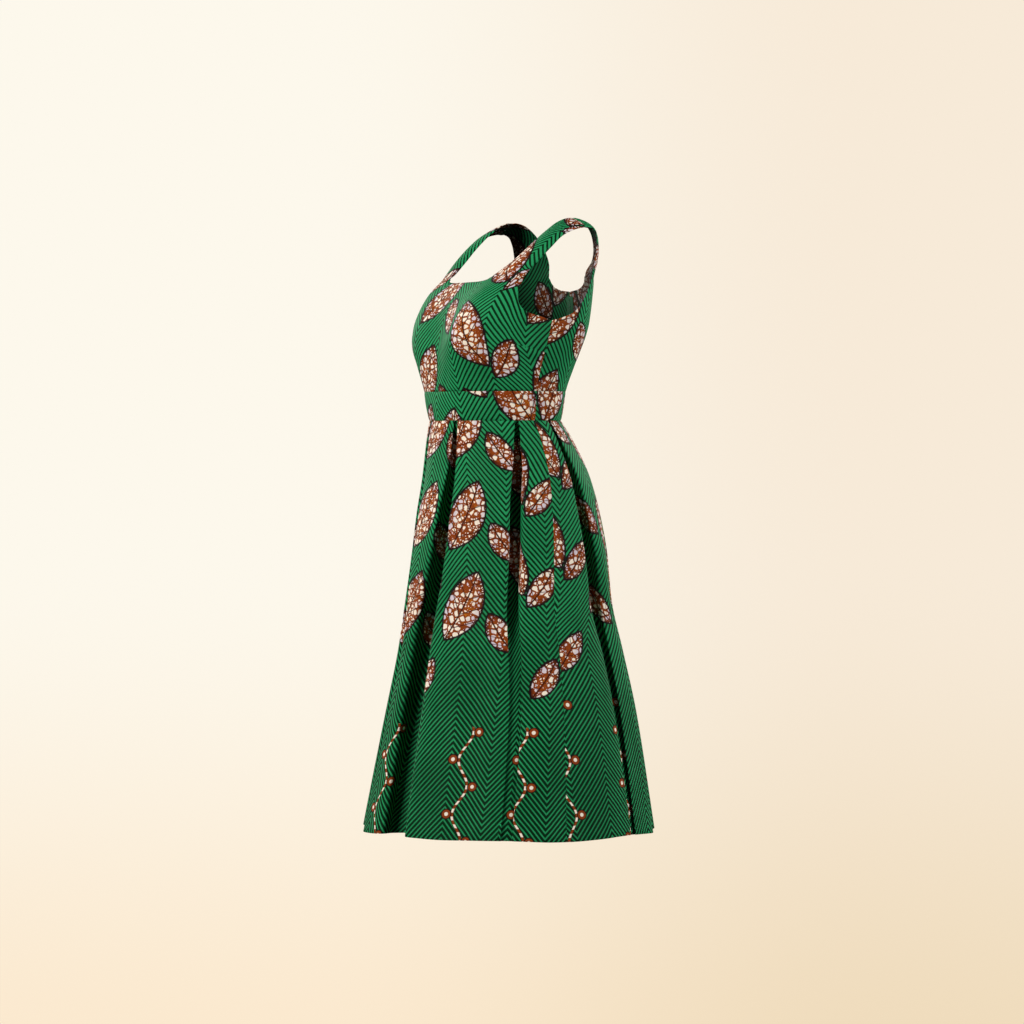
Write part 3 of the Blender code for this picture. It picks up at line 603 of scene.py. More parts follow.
def build_back_bodice(name, side):
    """side is 1 for the wearer's left and -1 for the right."""
    shares = np.concatenate((np.linspace(0, STRAP_SHARE_BACK, BACK_NECK_COLUMNS),
                             np.linspace(STRAP_SHARE_BACK, 1, STRAP_COLUMNS)[1:]))
    share = shares[::-1][None, :]
    rise = row_shares()
    level = bodice_levels(NECK_BACK, share, rise)
    centre = CENTRE_BACK - np.degrees(SEAM_GAP / 2 / BACK_REACH)
    angle = bodice_angles(ARMHOLE_BACK, centre, share, level, HALF_SEAM)
    points = ring(TORSO, angle, level)
    reach = ring_reach(TORSO, angle, level)
    from_side = (angle - column(BODICE_SIDE, "angle", level) - HALF_SEAM) * np.radians(1) * reach
    from_centre = (centre - angle) * np.radians(1) * reach
    dips = edge_dip(level - BAND_TOP) + edge_dip(np.where(level < UNDERARM + 0.002, from_side, FAR_OFF))
    dips += edge_dip(from_centre, CENTRE_REACH, CENTRE_DEPTH)
    # The creases of the right side stand a little nearer the side seam than those of the left.
    puff = crease_rise(BODICE_BACK_CREASES, angle + 3.0 * (side - 1), level)
    points = points + outward(points) * (puff - dips)[..., None]
    armhole = column(ARMHOLE_BACK, "angle", level) + HALF_SEAM
    from_arm = np.where(level > UNDERARM, (angle - armhole) * np.radians(1) * reach, FAR_OFF)
    top = bodice_levels(NECK_BACK, share, np.ones_like(rise))
    from_neck = np.where(share < STRAP_SHARE_BACK, top - level, FAR_OFF)
    points = rolled(points, np.minimum(from_arm, from_neck))
    places = back_places(angle, level)
    places[..., 0] -= on_torso(GIRTHS, np.full_like(level, BODICE_SIDE[0].angle), level)
    n = STRAP_COLUMNS
    strap = strap_grid(STRAP_BACK, points[:, :n], np.linspace(1, 0, n), SEAM_GAP / 2)
    panel = Panel()
    for grid, flat in ((points, places), (finish_strap(strap), strap_places(strap, places[-1, :n]))):
        if side < 0:
            grid = grid[:, ::-1] * (-1, 1, 1)
            flat = flat[:, ::-1] * (-1, 1)
        panel.add(grid, flat)
    return panel.build(name)


# ---------------------------------------------------------------- midriff band
BAND_COLUMNS_A_DEGREE = 0.9
# Columns beside an end seam, in degrees from it, and rows beside a long seam, in metres from it.
SEAM_COLUMNS = np.array((0, 0.35, 0.8, 1.3))
SEAM_ROWS = np.array((0, 0.0008, 0.0018, 0.003, 0.005))
MIDDLE_ROWS_FROM, MIDDLE_ROWS = 0.0085, 9
BAND_PUFF, BAND_RIPPLE, BAND_RIPPLE_RATE, BAND_RIPPLE_START = 0.0011, 0.0004, 0.21, 1.3


def build_band(name, first, last):
    first, last = first + HALF_SEAM, last - HALF_SEAM
    angle = np.linspace(first, last, int((last - first) * BAND_COLUMNS_A_DEGREE))
    angle = np.concatenate((first + SEAM_COLUMNS, angle[2:-2], last - SEAM_COLUMNS[::-1]))
    low, high = WAIST + SEAM_GAP / 2, BAND_TOP - SEAM_GAP / 2
    middle = np.linspace(low + MIDDLE_ROWS_FROM, high - MIDDLE_ROWS_FROM, MIDDLE_ROWS)
    height = np.concatenate((low + SEAM_ROWS, middle, high - SEAM_ROWS[::-1]))
    angle, height = np.broadcast_arrays(angle[None, :], height[:, None])
    points = ring(TORSO, angle, height)
    reach = ring_reach(TORSO, angle, height)
    dips = edge_dip(height - low) + edge_dip(high - height)
    dips += edge_dip((angle - first) * np.radians(1) * reach)
    dips += edge_dip((last - angle) * np.radians(1) * reach)
    arch = np.sin((height - low) / (high - low) * pi)
    puff = BAND_PUFF * arch + BAND_RIPPLE * np.sin(angle * BAND_RIPPLE_RATE + BAND_RIPPLE_START) * arch
    points = points + outward(points) * (puff - dips)[..., None]
    places = np.stack((on_torso(GIRTHS, angle, height), height - WAIST), axis=-1)
    panel = Panel()
    panel.add(points, places)
    return panel.build(name)


# ---------------------------------------------------------------- skirt
SOFT_COLUMNS, CRISP_COLUMNS = 27, 16
SKIRT_COLUMNS_A_DEGREE, LEAST_COLUMNS = 0.75, 6
SKIRT_ROWS, ROWS_CLOSER_TO_WAIST = 104, 1.35
# How wide the turn at a sharp fold's foot is: a share of the fold's own width and a little more.
TURN_SHARE, TURN_LEAST, TURN_MOST = 0.2, 0.001, 0.006
# A crease fades out where the cloth is this deep in a pleat, and this near to a side seam.
CREASE_GONE_DEPTH, CREASE_FROM_SEAM = 0.006, 0.030
# How many columns either side of a pleat's bottom the print takes to run on to the next panel.
PRINT_SPREAD = (0.6, 0.6, 1.0, 2.5, 6.0, 9.0)
SLANT = 1.035
HEM_ALLOWANCE, HEM_FOLD_GAP = 0.026, 0.0014
HEM_FOLD_TURNS = (30, 60, 90, 120, 150)
HemWave = namedtuple("HemWave", "rise turns start")
HEM_WAVES = (HemWave(0.0017, 3, 40), HemWave(0.0013, 7, 15))
HEM_WAVE_TOP = -0.76
HEM_LIFT, HEM_LIFT_ANGLE, HEM_LIFT_SPREAD = 0.0080, -40, 24


def bezier(p0, p1, p2, p3, s):
    return (1 - s)**3 * p0 + 3 * (1 - s)**2 * s * p1 + 3 * (1 - s) * s**2 * p2 + s**3 * p3


def quadratic(p0, p1, p2, s):
    return (1 - s)**2 * p0 + 2 * (1 - s) * s * p1 + s**2 * p2


def fold_path(fold, height):
    """Angles and insets across one pleat at each height, in rising angle, and its bottom's column."""
    depth, gap = at_folds(fold.depth, height), at_folds(fold.gap, height)
    roll, crisp = at_folds(fold.roll, height), at_folds(fold.crisp, height)
    under, behind = at_folds(fold.under, height), at_folds(fold.behind, height)
    s = np.linspace(0, 1, SOFT_COLUMNS // 2 + 1)[None, :]
    lip, floor_end = -gap - roll - behind / 2, -gap - roll - behind
    over_lip = quadratic(-gap - 2 * roll, -gap, lip, s)
    along_floor = quadratic(lip, floor_end, under, s)[:, 1:]
    down = quadratic(0, 0, depth / 2, s)
    to_floor = quadratic(depth / 2, depth, depth, s)[:, 1:]
    s = np.linspace(0, 1, CRISP_COLUMNS)[None, 1:]
    turn = np.minimum(TURN_MOST, TURN_SHARE * crisp + TURN_LEAST)
    t_crisp = bezier(under, under + turn, -0.9 * crisp, crisp, s)
    d_crisp = bezier(depth, depth, 0, 0, s)
    t = np.concatenate((over_lip, along_floor, t_crisp), axis=1)
    d = np.concatenate((down, to_floor, d_crisp), axis=1)
    bottom = SOFT_COLUMNS - 1
    if fold.way < 0:
        t, d = -t[:, ::-1], d[:, ::-1]
        bottom = t.shape[1] - 1 - bottom
    edge = at_folds(fold.edge, height)
    reach = ring_reach(SKIRT, edge, height)
    return edge + np.degrees(t / reach), d, bottom


def skirt_heights():
    t = np.linspace(0, 1, SKIRT_ROWS)
    top = WAIST - SEAM_GAP / 2
    return (HEM + (top - HEM) * (1 - (1 - t)**ROWS_CLOSER_TO_WAIST))[:, None]


def skirt_grid(folds, first, last, height):
    """Angles and insets of a skirt piece, and the columns that each panel and each pleat takes up."""
    angles, insets, panels, pleats = [], [], [], []
    start, count = first, 0
    for fold in folds + (None,):
        if fold:
            path, inset, bottom = fold_path(fold, height)
            stop = path[:, [0]]
        else:
            stop = last
        number = max(LEAST_COLUMNS, int((stop[0, 0] - start[0, 0]) * SKIRT_COLUMNS_A_DEGREE))
        s = np.linspace(0, 1, number)[None, :]
        angles.append(start + (stop - start) * (s[:, :-1] if fold else s))
        insets.append(np.zeros_like(angles[-1]))
        panels.append((count, count + angles[-1].shape[1]))
        count += angles[-1].shape[1]
        if fold:
            angles.append(path[:, :-1])
            insets.append(inset[:, :-1])
            pleats.append((count, count + path.shape[1] - 1, bottom))
            count += path.shape[1] - 1
            start = path[:, [-1]]
    return np.concatenate(angles, axis=1), np.concatenate(insets, axis=1), panels, pleats


def skirt_places(points, angle, height, folds, guides, panels, pleats):
    """Places in the flat cut: each panel is laid out from its guide, and each pleat joins two panels."""
    travel = lengths(points, 1)
    across = np.empty_like(travel)
    starts = []
    for (a, b), guide in zip(panels, guides):
        at = at_folds(guide.angle, height)[:, 0]
        here = np.array([np.interp(at[r], angle[r, a:b + 1], travel[r, a:b + 1]) for r in range(len(at))])
        starts.append(at_folds(guide.across, height) - here[:, None])
    for i in reversed(range(len(folds))):
        joined = at_folds(folds[i].joined, height)
        starts[i] = starts[i] * (1 - joined) + starts[i + 1] * joined
    for (a, b), start in zip(panels, starts):
        across[:, a:b] = travel[:, a:b] + start
    spread = at_folds(PRINT_SPREAD, height)
    for i, (a, b, bottom) in enumerate(pleats):
        over = ramp(-spread, spread, np.arange(b - a)[None, :] - bottom)
        across[:, a:b] = travel[:, a:b] + starts[i] * (1 - over) + starts[i + 1] * over
    return np.stack((across, np.broadcast_to((height - WAIST) * SLANT, across.shape)), axis=-1)


def build_skirt(name, folds, guides, creases, first_seam, last_seam, mirrored=False):
    height = skirt_heights()
    first, last = first_seam(height), last_seam(height)
    angle, inset, panels, pleats = skirt_grid(folds, first, last, height)
    level = np.broadcast_to(height, angle.shape)
    reach = ring_reach(SKIRT, angle, level)
    from_first = np.abs(angle - first) * np.radians(1) * reach
    from_last = np.abs(last - angle) * np.radians(1) * reach
    dips = edge_dip(WAIST - level, WAIST_REACH, WAIST_DEPTH)
    dips = dips + edge_dip(from_first, SIDE_REACH) + edge_dip(from_last, SIDE_REACH)
    puff = crease_rise(creases, angle, level) * (1 - np.clip(inset / CREASE_GONE_DEPTH, 0, 1))
    puff = puff * ramp(0.0, CREASE_FROM_SEAM, np.minimum(from_first, from_last))
    points = ring(SKIRT, angle, level, inset + dips - puff)
    points[..., 2] += hem_wave(-angle if mirrored else angle, level)
    places = skirt_places(points, angle, height, folds, guides, panels, pleats)
    panel = Panel()
    for grid, flat in ((points, places), hem_turn(points, places)):
        if mirrored:
            grid, flat = grid[:, ::-1] * (-1, 1, 1), flat[:, ::-1] * (-1, 1)
        panel.add(grid, flat)
    return panel.build(name)


def hem_wave(angle, level):
    """Small rises and falls of the hem's level, and its rise at the right of the front."""
    waves = sum(wave.rise * np.sin(np.radians(angle * wave.turns + wave.start)) for wave in HEM_WAVES)
    lift = HEM_LIFT * np.exp(-((angle - HEM_LIFT_ANGLE) / HEM_LIFT_SPREAD)**2)
    return ramp(HEM_WAVE_TOP, HEM, level) * (waves + lift)


def hem_turn(points, places):
    """The hem allowance: the cloth turned up inside, a round fold and then a flat strip."""
    normals = outward(points)
    bottom = points[0]
    inward = -normals[0]
    inward[:, 2] = 0
    inward /= np.maximum(np.linalg.norm(inward, axis=-1, keepdims=True), 1e-9)
    rise = points[:, :, 2] - points[0, :, 2]
    tall = int(np.abs(rise[:, 0] - HEM_ALLOWANCE).argmin())
    rows = [points[row] - normals[row] * HEM_FOLD_GAP for row in range(tall, 0, -1)]
    flat = [places[row] for row in range(tall, 0, -1)]
    for turn in np.radians(HEM_FOLD_TURNS):
        back, down = HEM_FOLD_GAP / 2 * (1 + cos(turn)), HEM_FOLD_GAP / 2 * sin(turn)
        rows.append(bottom + inward * back - np.array((0, 0, 1)) * down)
        flat.append(places[0])
    rows.append(bottom)
    flat.append(places[0])
    return np.array(rows), np.array(flat)


# ---------------------------------------------------------------- zip fastener
TAPE_EDGE, TAPE_HALF = 0.0006, 0.0112
TAPE_INSET = 0.0014
TAPE_WALL = 0.0005
TAPE_ROWS, TAPE_COLUMNS = 150, 9
TWILL_PITCH = 0.0007
COIL_TOP = ZIP_TOP - 0.008
COIL_PITCH = 0.0013
COIL_REACH = 0.0023
COIL_WALL = 0.0006
COIL_THICKNESS_SHARE, COIL_FILL = 1.6, 0.62
COIL_ASIDE, COIL_BEHIND, COIL_ROUNDING = 0.0007, 0.0006, 0.00018
NYLON_GRAIN = 0.001429
ENAMEL_PEEL, ENAMEL_CHIP = 0.0025, 0.001429


def table_at(height):
    return TORSO if height >= WAIST else SKIRT


def build_tape(name, side):
    """One woven tape of the zip, sewn behind its own back panel."""
    heights = np.linspace(ZIP_END, ZIP_TOP, TAPE_ROWS)
    across = np.linspace(TAPE_EDGE, TAPE_HALF, TAPE_COLUMNS)
    grid = np.empty((len(heights), len(across), 3))
    for r, height in enumerate(heights):
        table = table_at(height)
        turn = np.degrees(across / ring_reach(table, CENTRE_BACK, height))
        grid[r] = ring(table, CENTRE_BACK - turn, height, TAPE_INSET)
    grid = grid[:, ::-1]
    flat = np.stack(np.broadcast_arrays(across[::-1][None, :], heights[:, None]), axis=-1)
    if side < 0:
        grid, flat = grid[:, ::-1] * (-1, 1, 1), flat[:, ::-1] * (-1, 1)
    panel = Panel()
    panel.add(grid, flat)
    return panel.build(name, TAPE_WALL, 0)


def build_coil(name):
    """The zip's interlocked coil: one flat loop, copied down the tapes from each side in turn."""
    bpy.ops.object.select_all(action="DESELECT")
    bpy.ops.mesh.primitive_cube_add(size=1.0, calc_uvs=False)
    loop = bpy.context.object
    bpy.ops.object.mode_set(mode="EDIT")
    bpy.ops.mesh.select_all(action="SELECT")
    bpy.ops.transform.resize(value=(COIL_REACH, COIL_WALL * COIL_THICKNESS_SHARE, COIL_PITCH * COIL_FILL))
    bpy.ops.mesh.bevel(offset=COIL_ROUNDING, segments=1, affect="EDGES")
    bpy.ops.object.mode_set(mode="OBJECT")
    loop.data.shade_smooth()
    loop.select_set(False)
    copies = []
    for k in range(int((COIL_TOP - ZIP_END) / COIL_PITCH)):
        height = COIL_TOP - k * COIL_PITCH
        inner_face = ring(table_at(height), CENTRE_BACK, height, TAPE_INSET)
        aside = COIL_ASIDE if k % 2 else -COIL_ASIDE
        copy = bpy.data.objects.new(name, loop.data.copy())
        copy.data.transform(Matrix.Translation((aside, inner_face[1] - COIL_WALL - COIL_BEHIND, height)))
        bpy.context.scene.collection.objects.link(copy)
        copy.select_set(True)
        copies.append(copy)
    bpy.data.objects.remove(loop)
    coil = bpy.context.view_layer.objects.active = copies[0]
    bpy.ops.object.join()
    coil.data.name = name
    return coil


# ---------------------------------------------------------------- materials
def linear(hex_colour):
    """An sRGB hex colour as linear RGBA."""
    parts = [int(hex_colour[i:i + 2], 16) / 255 for i in (1, 3, 5)]
    return tuple(p / 12.92 if p <= 0.04045 else ((p + 0.055) / 1.055)**2.4 for p in parts) + (1.0,)


class Wiring:
    """A new material and the nodes that feed its shader."""

    def __init__(self, name):
        self.material = bpy.data.materials.new(name)
        self.material.use_nodes = True
        self.tree = self.material.node_tree
        self.shader = self.tree.nodes["Principled BSDF"]

    def put(self, node, sockets):
        """Links or sets a node's sockets, given by place or by name."""
        for key, value in sockets.items() if isinstance(sockets, dict) else enumerate(sockets):
            if isinstance(value, bpy.types.NodeSocket):
                self.tree.links.new(value, node.inputs[key])
            else:
                node.inputs[key].default_value = value

    def add(self, kind, sockets=(), output=0, **settings):
        """Adds a node with its settings and links, and gives one output, or all of them for None."""
        made = self.tree.nodes.new("ShaderNode" + kind)
        for key, value in settings.items():
            setattr(made, key, value)
        self.put(made, sockets)
        return made.outputs if output is None else made.outputs[output]


# Sizes of the print, in metres.  Each noise has cells about as wide as its size.  A bright stripe
# takes up one share of the pitch below STRIPE_LOW and another above STRIPE_HIGH.
STRIPE_PITCH = 0.0099
STRIPE_SLOPE = 1.19
STRIPE_LOW, STRIPE_HIGH = -0.62, -0.02
STRIPE_SHARE_LOW, STRIPE_SHARE_HIGH, STRIPE_SOFTNESS = 0.36, 0.54, 0.07
PRINT_BEND, PRINT_BEND_SHIFT = 0.03846, 0.0016
LINE_BLEED, LINE_BLEED_SHIFT = 0.002381, 0.0011
DYE_PATCH = 0.1111
DYE_GRAIN = 0.001111
MOTIF_RAG, MOTIF_RAG_SHIFT = 0.004348, 0.0024
ROUGH_PATCH = 0.01667
WORN_CREASE = 0.02941
# Threads lie 0.21 mm apart, so over and under repeat at twice that.
THREAD_PITCH = 0.00042

GREEN_BRIGHT = "#2DA96A"
GREEN_DEEP = "#1C8550"
GREEN_DARK = "#002611"
BROWN = "#8E3E12"
BROWN_DEEP = "#5E250D"
ORANGE = "#C87018"
CREAM = "#FFF3E2"
LILAC = "#DACFDC"
VEIN = "#43180C"
INK = "#1B1014"
# Shares that darken the print on the inner faces: a little for the duller wrong side of the cloth, most of it
# painted shade inside the dress.
WRONG_SIDE_DULLING_AND_SHADE = (0.31, 0.33, 0.33)

# Motifs of the print: leaves in a half-drop, all in metres.  across and up are the cell's sizes,
# x and y the middle of the leaf in it, long and wide the leaf's half sizes, lean its tilt in
# degrees, bend its curve.  There are none below low_edge.
Leaf = namedtuple("Leaf", "across up x y long wide lean bend low_edge")
LEAVES = (
    Leaf(0.132, 0.148, 0.0420, 0.0800, 0.0610, 0.0310, 26.0, 1.3, -0.33),
    Leaf(0.132, 0.148, 0.1035, 0.0370, 0.0370, 0.0190, -34.0, -2.2, -0.42),
)
# Where the edge of each painted area starts and ends, as distances out from its middle line or rim.
LEAF_OUTLINE, LEAF_FILL, LEAF_MIDRIB = (0.0018, 0.0033), (-0.0014, 0.0), (0.0007, 0.0018)
STEM_OUTLINE, STEM_FILL = (0.0004, 0.0014), (-0.0005, 0.0002)
BERRY_OUTLINE, BERRY_FILL, BERRY_RING = (0.0080, 0.0094), (0.0066, 0.0074), (0.0026, 0.0036)
VEIN_PITCH_SHARE, VEIN_SLANT = 0.42, 0.9
VINE_ACROSS, VINE_TOP, VINE_PERIOD = 0.132, -0.410, 0.088
VINE_SWING, VINE_HALF_WIDTH, BERRY_ASIDE, VINE_DASH = 0.0092, 0.0021, 0.0185, 0.0125
VINE_DASH_EDGE = (-0.15, 0.25)
VINE_FADE_SLOPE, VINE_GONE = 8.0, 0.02

# The crackle inside a motif, in metres.
CRACKLE_BEND, CRACKLE_BEND_ACROSS, CRACKLE_BEND_UP = 0.008333, 0.0072, 0.0056
RIM_FROM, RIM_TO = -0.022, -0.004
CRACK_SIZE, CRACKED_PATCH, SCRATCH_SIZE = 0.004762, 0.03333, 0.001923
# Round spots in two sizes: size of a spot's cell, then the radius of the smallest and the largest
# spot and the least ground between two, as shares of that cell.
Spots = namedtuple("Spots", "cell smallest largest ground")
SPOTS = (Spots(0.010638, 0.16, 0.57, 0.095), Spots(0.004878, 0.05, 0.38, 0.13))
SPOT_RANDOMNESS = 0.85


def stripes(add, u, v, bleed):
    """Chevrons: 1 on a bright line and 0 between.  The bright lines are wider near the waist."""
    zigzag = add("Math", (u, PRINT_HALF), operation="PINGPONG")
    rise = add("Math", (zigzag, STRIPE_SLOPE), operation="MULTIPLY")
    phase = add("Math", (v, rise), operation="ADD")
    phase = add("Math", (phase, bleed), operation="ADD")
    lines = add("Math", (phase, STRIPE_PITCH), operation="DIVIDE")
    share = add("Math", (lines,), operation="FRACT")
    offset = add("Math", (share, 0.5), operation="SUBTRACT")
    offset = add("Math", (offset,), operation="ABSOLUTE")
    from_middle = add("Math", (offset, 2.0), operation="MULTIPLY")
    bright = add("MapRange", (v, STRIPE_LOW, STRIPE_HIGH, STRIPE_SHARE_LOW, STRIPE_SHARE_HIGH),
                 interpolation_type="SMOOTHSTEP")
    past = add("Math", (from_middle, bright), operation="SUBTRACT")
    return add("MapRange", (past, -STRIPE_SOFTNESS, STRIPE_SOFTNESS, 1.0, 0.0),
               interpolation_type="SMOOTHSTEP")


def leaf_distance(add, u, v, leaf):
    """Signed distance from one family of leaves, negative inside, and the place along and across it."""
    columns = add("Math", (u, leaf.across), operation="DIVIDE")
    column_number = add("Math", (columns,), operation="FLOOR")
    positive = add("Math", (column_number,), operation="ABSOLUTE")
    odd = add("Math", (positive, 2.0), operation="MODULO")
    half_drop = add("Math", (odd, leaf.up / 2), operation="MULTIPLY")
    lifted = add("Math", (v, half_drop), operation="ADD")
    rows = add("Math", (lifted, leaf.up), operation="DIVIDE")
    row_number = add("Math", (rows,), operation="FLOOR")
    x = add("Math", (u, leaf.across), operation="FLOORED_MODULO")
    x = add("Math", (x, leaf.x), operation="SUBTRACT")
    y = add("Math", (lifted, leaf.up), operation="FLOORED_MODULO")
    y = add("Math", (y, leaf.y), operation="SUBTRACT")
    twice_odd = add("Math", (odd, 2.0), operation="MULTIPLY")
    way = add("Math", (1.0, twice_odd), operation="SUBTRACT")
    x = add("Math", (x, way), operation="MULTIPLY")

    lean = radians(leaf.lean)
    y_along = add("Math", (y, cos(lean)), operation="MULTIPLY")
    x_along = add("Math", (x, sin(lean)), operation="MULTIPLY")
    along = add("Math", (y_along, x_along), operation="ADD")
    x_aside = add("Math", (x, cos(lean)), operation="MULTIPLY")
    y_aside = add("Math", (y, sin(lean)), operation="MULTIPLY")
    aside = add("Math", (x_aside, y_aside), operation="SUBTRACT")
    along_squared = add("Math", (along, along), operation="MULTIPLY")
    bent = add("Math", (along_squared, leaf.bend), operation="MULTIPLY")
    aside = add("Math", (aside, bent), operation="ADD")

    # A leaf is where two equal circles overlap.
    radius = (leaf.long**2 + leaf.wide**2) / (2 * leaf.wide)
    reach = add("Math", (aside,), operation="ABSOLUTE")
    reach = add("Math", (reach, radius - leaf.wide), operation="ADD")
    reach_squared = add("Math", (reach, reach), operation="MULTIPLY")
    along_squared = add("Math", (along, along), operation="MULTIPLY")
    squares = add("Math", (reach_squared, along_squared), operation="ADD")
    distance = add("Math", (squares,), operation="SQRT")
    distance = add("Math", (distance, radius), operation="SUBTRACT")

    row_height = add("Math", (row_number, leaf.up), operation="MULTIPLY")
    dropped = add("Math", (odd, leaf.up / 2), operation="MULTIPLY")
    middle = add("Math", (row_height, dropped), operation="SUBTRACT")
    missing = add("Math", (middle, leaf.low_edge), operation="LESS_THAN")
    return add("Math", (distance, missing), operation="ADD"), along, aside


def vine_distance(add, u, v):
    """Signed distances from a wavy stem that climbs from the hem and from the berries in its bends."""
    x = add("Math", (u, VINE_ACROSS), operation="FLOORED_MODULO")
    x = add("Math", (x, VINE_ACROSS / 2), operation="SUBTRACT")
    turns = add("Math", (v, 2 * pi / VINE_PERIOD), operation="MULTIPLY")
    swing = add("Math", (turns,), operation="SINE")
    bend = add("Math", (swing, VINE_SWING), operation="MULTIPLY")
    from_stem = add("Math", (x, bend), operation="SUBTRACT")
    from_stem = add("Math", (from_stem,), operation="ABSOLUTE")
    stem = add("Math", (from_stem, VINE_HALF_WIDTH), operation="SUBTRACT")
    side = add("Math", (swing,), operation="SIGN")
    aside = add("Math", (x, side), operation="MULTIPLY")
    aside = add("Math", (aside, BERRY_ASIDE), operation="SUBTRACT")
    down = add("Math", (v, VINE_PERIOD / 2), operation="FLOORED_MODULO")
    down = add("Math", (down, VINE_PERIOD / 4), operation="SUBTRACT")
    aside_squared = add("Math", (aside, aside), operation="MULTIPLY")
    down_squared = add("Math", (down, down), operation="MULTIPLY")
    squares = add("Math", (aside_squared, down_squared), operation="ADD")
    berry = add("Math", (squares,), operation="SQRT")
    over_top = add("Math", (v, VINE_TOP), operation="SUBTRACT")
    over_top = add("Math", (over_top, VINE_FADE_SLOPE), operation="MULTIPLY")
    over_top = add("Math", (over_top, 0.0), operation="MAXIMUM")
    over_top = add("Math", (over_top, VINE_GONE), operation="MINIMUM")
    stem = add("Math", (stem, over_top), operation="ADD")
    berry = add("Math", (berry, over_top), operation="ADD")
    return stem, berry


def crackled(add, place, distance):
    """Brown ground of a motif with round cream spots and fine orange cracks, cooler toward its rim."""
    drift = add("TexNoise", {"Vector": place, "Scale": 1 / CRACKLE_BEND, "Detail": 2.0}, "Color")
    drift = add("VectorMath", (drift, (0.5, 0.5, 0.5)), operation="SUBTRACT")
    drift = add("VectorMath", (drift, (CRACKLE_BEND_ACROSS, CRACKLE_BEND_UP, 0.0)), operation="MULTIPLY")
    bent = add("VectorMath", (place, drift), operation="ADD")
    inner = add("MapRange", (distance, RIM_FROM, RIM_TO, 1.0, 0.0), interpolation_type="SMOOTHSTEP")

    discs, tones, clearings = [], [], []
    for spots in SPOTS:
        cells = {"Vector": bent, "Scale": 1 / spots.cell, "Randomness": SPOT_RANDOMNESS}
        nearest = add("TexVoronoi", cells, None, voronoi_dimensions="2D")
        to_edge = add("TexVoronoi", cells, "Distance", voronoi_dimensions="2D", feature="DISTANCE_TO_EDGE")
        chance, tone, _ = add("SeparateXYZ", (nearest["Color"],), None)
        radius = add("MapRange", (chance, 0.0, 1.0, spots.smallest, spots.largest),
                     interpolation_type="SMOOTHSTEP")
        within = add("Math", (radius, nearest["Distance"]), operation="SUBTRACT")
        apart = add("Math", (to_edge, spots.ground), operation="SUBTRACT")
        within = add("Math", (within, apart), operation="MINIMUM")
        discs.append(add("MapRange", (within, 0.0, 0.06), interpolation_type="SMOOTHSTEP"))
        clearings.append(add("MapRange", (within, -0.16, -0.10, 1.0, 0.0), interpolation_type="SMOOTHSTEP"))
        tones.append(tone)
    small = add("Math", (discs[1], clearings[0]), operation="MULTIPLY")
    spot = add("Math", (discs[0], small), operation="MAXIMUM")

    to_rim = add("MapRange", (distance, -0.007, -0.001), interpolation_type="SMOOTHSTEP")
    ground = add("Mix", {0: to_rim, 6: linear(BROWN), 7: linear(BROWN_DEEP)}, 2, data_type="RGBA")
    crack = add("TexNoise", {"Vector": bent, "Scale": 1 / CRACK_SIZE, "Detail": 2.0})
    crack = add("Math", (crack, 0.5), operation="SUBTRACT")
    crack = add("Math", (crack,), operation="ABSOLUTE")
    crack = add("MapRange", (crack, 0.012, 0.045, 1.0, 0.0), interpolation_type="SMOOTHSTEP")
    patch = add("TexNoise", {"Vector": place, "Scale": 1 / CRACKED_PATCH, "Detail": 2.0})
    patch = add("MapRange", (patch, 0.42, 0.60), interpolation_type="SMOOTHSTEP")
    crack = add("Math", (crack, patch), operation="MULTIPLY")
    crack = add("Math", (crack, inner), operation="MULTIPLY")
    ground = add("Mix", {0: crack, 6: ground, 7: linear(ORANGE)}, 2, data_type="RGBA")

    rim = add("Math", (1.0, inner), operation="SUBTRACT")
    cool = add("MapRange", (tones[0], 0.25, 0.70), interpolation_type="SMOOTHSTEP")
    rim = add("Math", (rim, cool), operation="MULTIPLY")
    pale = add("Mix", {0: rim, 6: linear(CREAM), 7: linear(LILAC)}, 2, data_type="RGBA")
    scratch = add("TexNoise", {"Vector": bent, "Scale": 1 / SCRATCH_SIZE, "Detail": 2.0})
    scratch = add("MapRange", (scratch, 0.60, 0.72, 0.0, 0.35), interpolation_type="SMOOTHSTEP")
    pale = add("Mix", {0: scratch, 6: pale, 7: linear(BROWN)}, 2, data_type="RGBA")
    return add("Mix", {0: spot, 6: ground, 7: pale}, 2, data_type="RGBA")


def green_ground(add, uv, u, v, bleed):
    """Bright and dark green chevrons, dyed a little unevenly; the bright green is deeper toward the hem."""
    line = stripes(add, u, v, bleed)
    dye = add("TexNoise", {"Vector": uv, "Scale": 1 / DYE_PATCH, "Detail": 3.0})
    dye = add("MapRange", (dye, 0.35, 0.65, 0.0, 0.5), interpolation_type="SMOOTHSTEP")
    # Darkens the bright green toward the hem.
    low = add("MapRange", (v, -0.50, -0.05, 0.2, 0.0), interpolation_type="SMOOTHSTEP")
    deep = add("Math", (dye, low), operation="ADD")
    bright = add("Mix", {0: deep, 6: linear(GREEN_BRIGHT), 7: linear(GREEN_DEEP)}, 2, data_type="RGBA")
    grain = add("TexNoise", {"Vector": uv, "Scale": 1 / DYE_GRAIN, "Detail": 2.0})
    grain = add("MapRange", (grain, 0.3, 0.75, 0.0, 0.18), interpolation_type="SMOOTHSTEP")
    bright = add("Mix", {0: grain, 6: bright, 7: linear(GREEN_DARK)}, 2, data_type="RGBA")
    return add("Mix", {0: line, 6: linear(GREEN_DARK), 7: bright}, 2, data_type="RGBA")


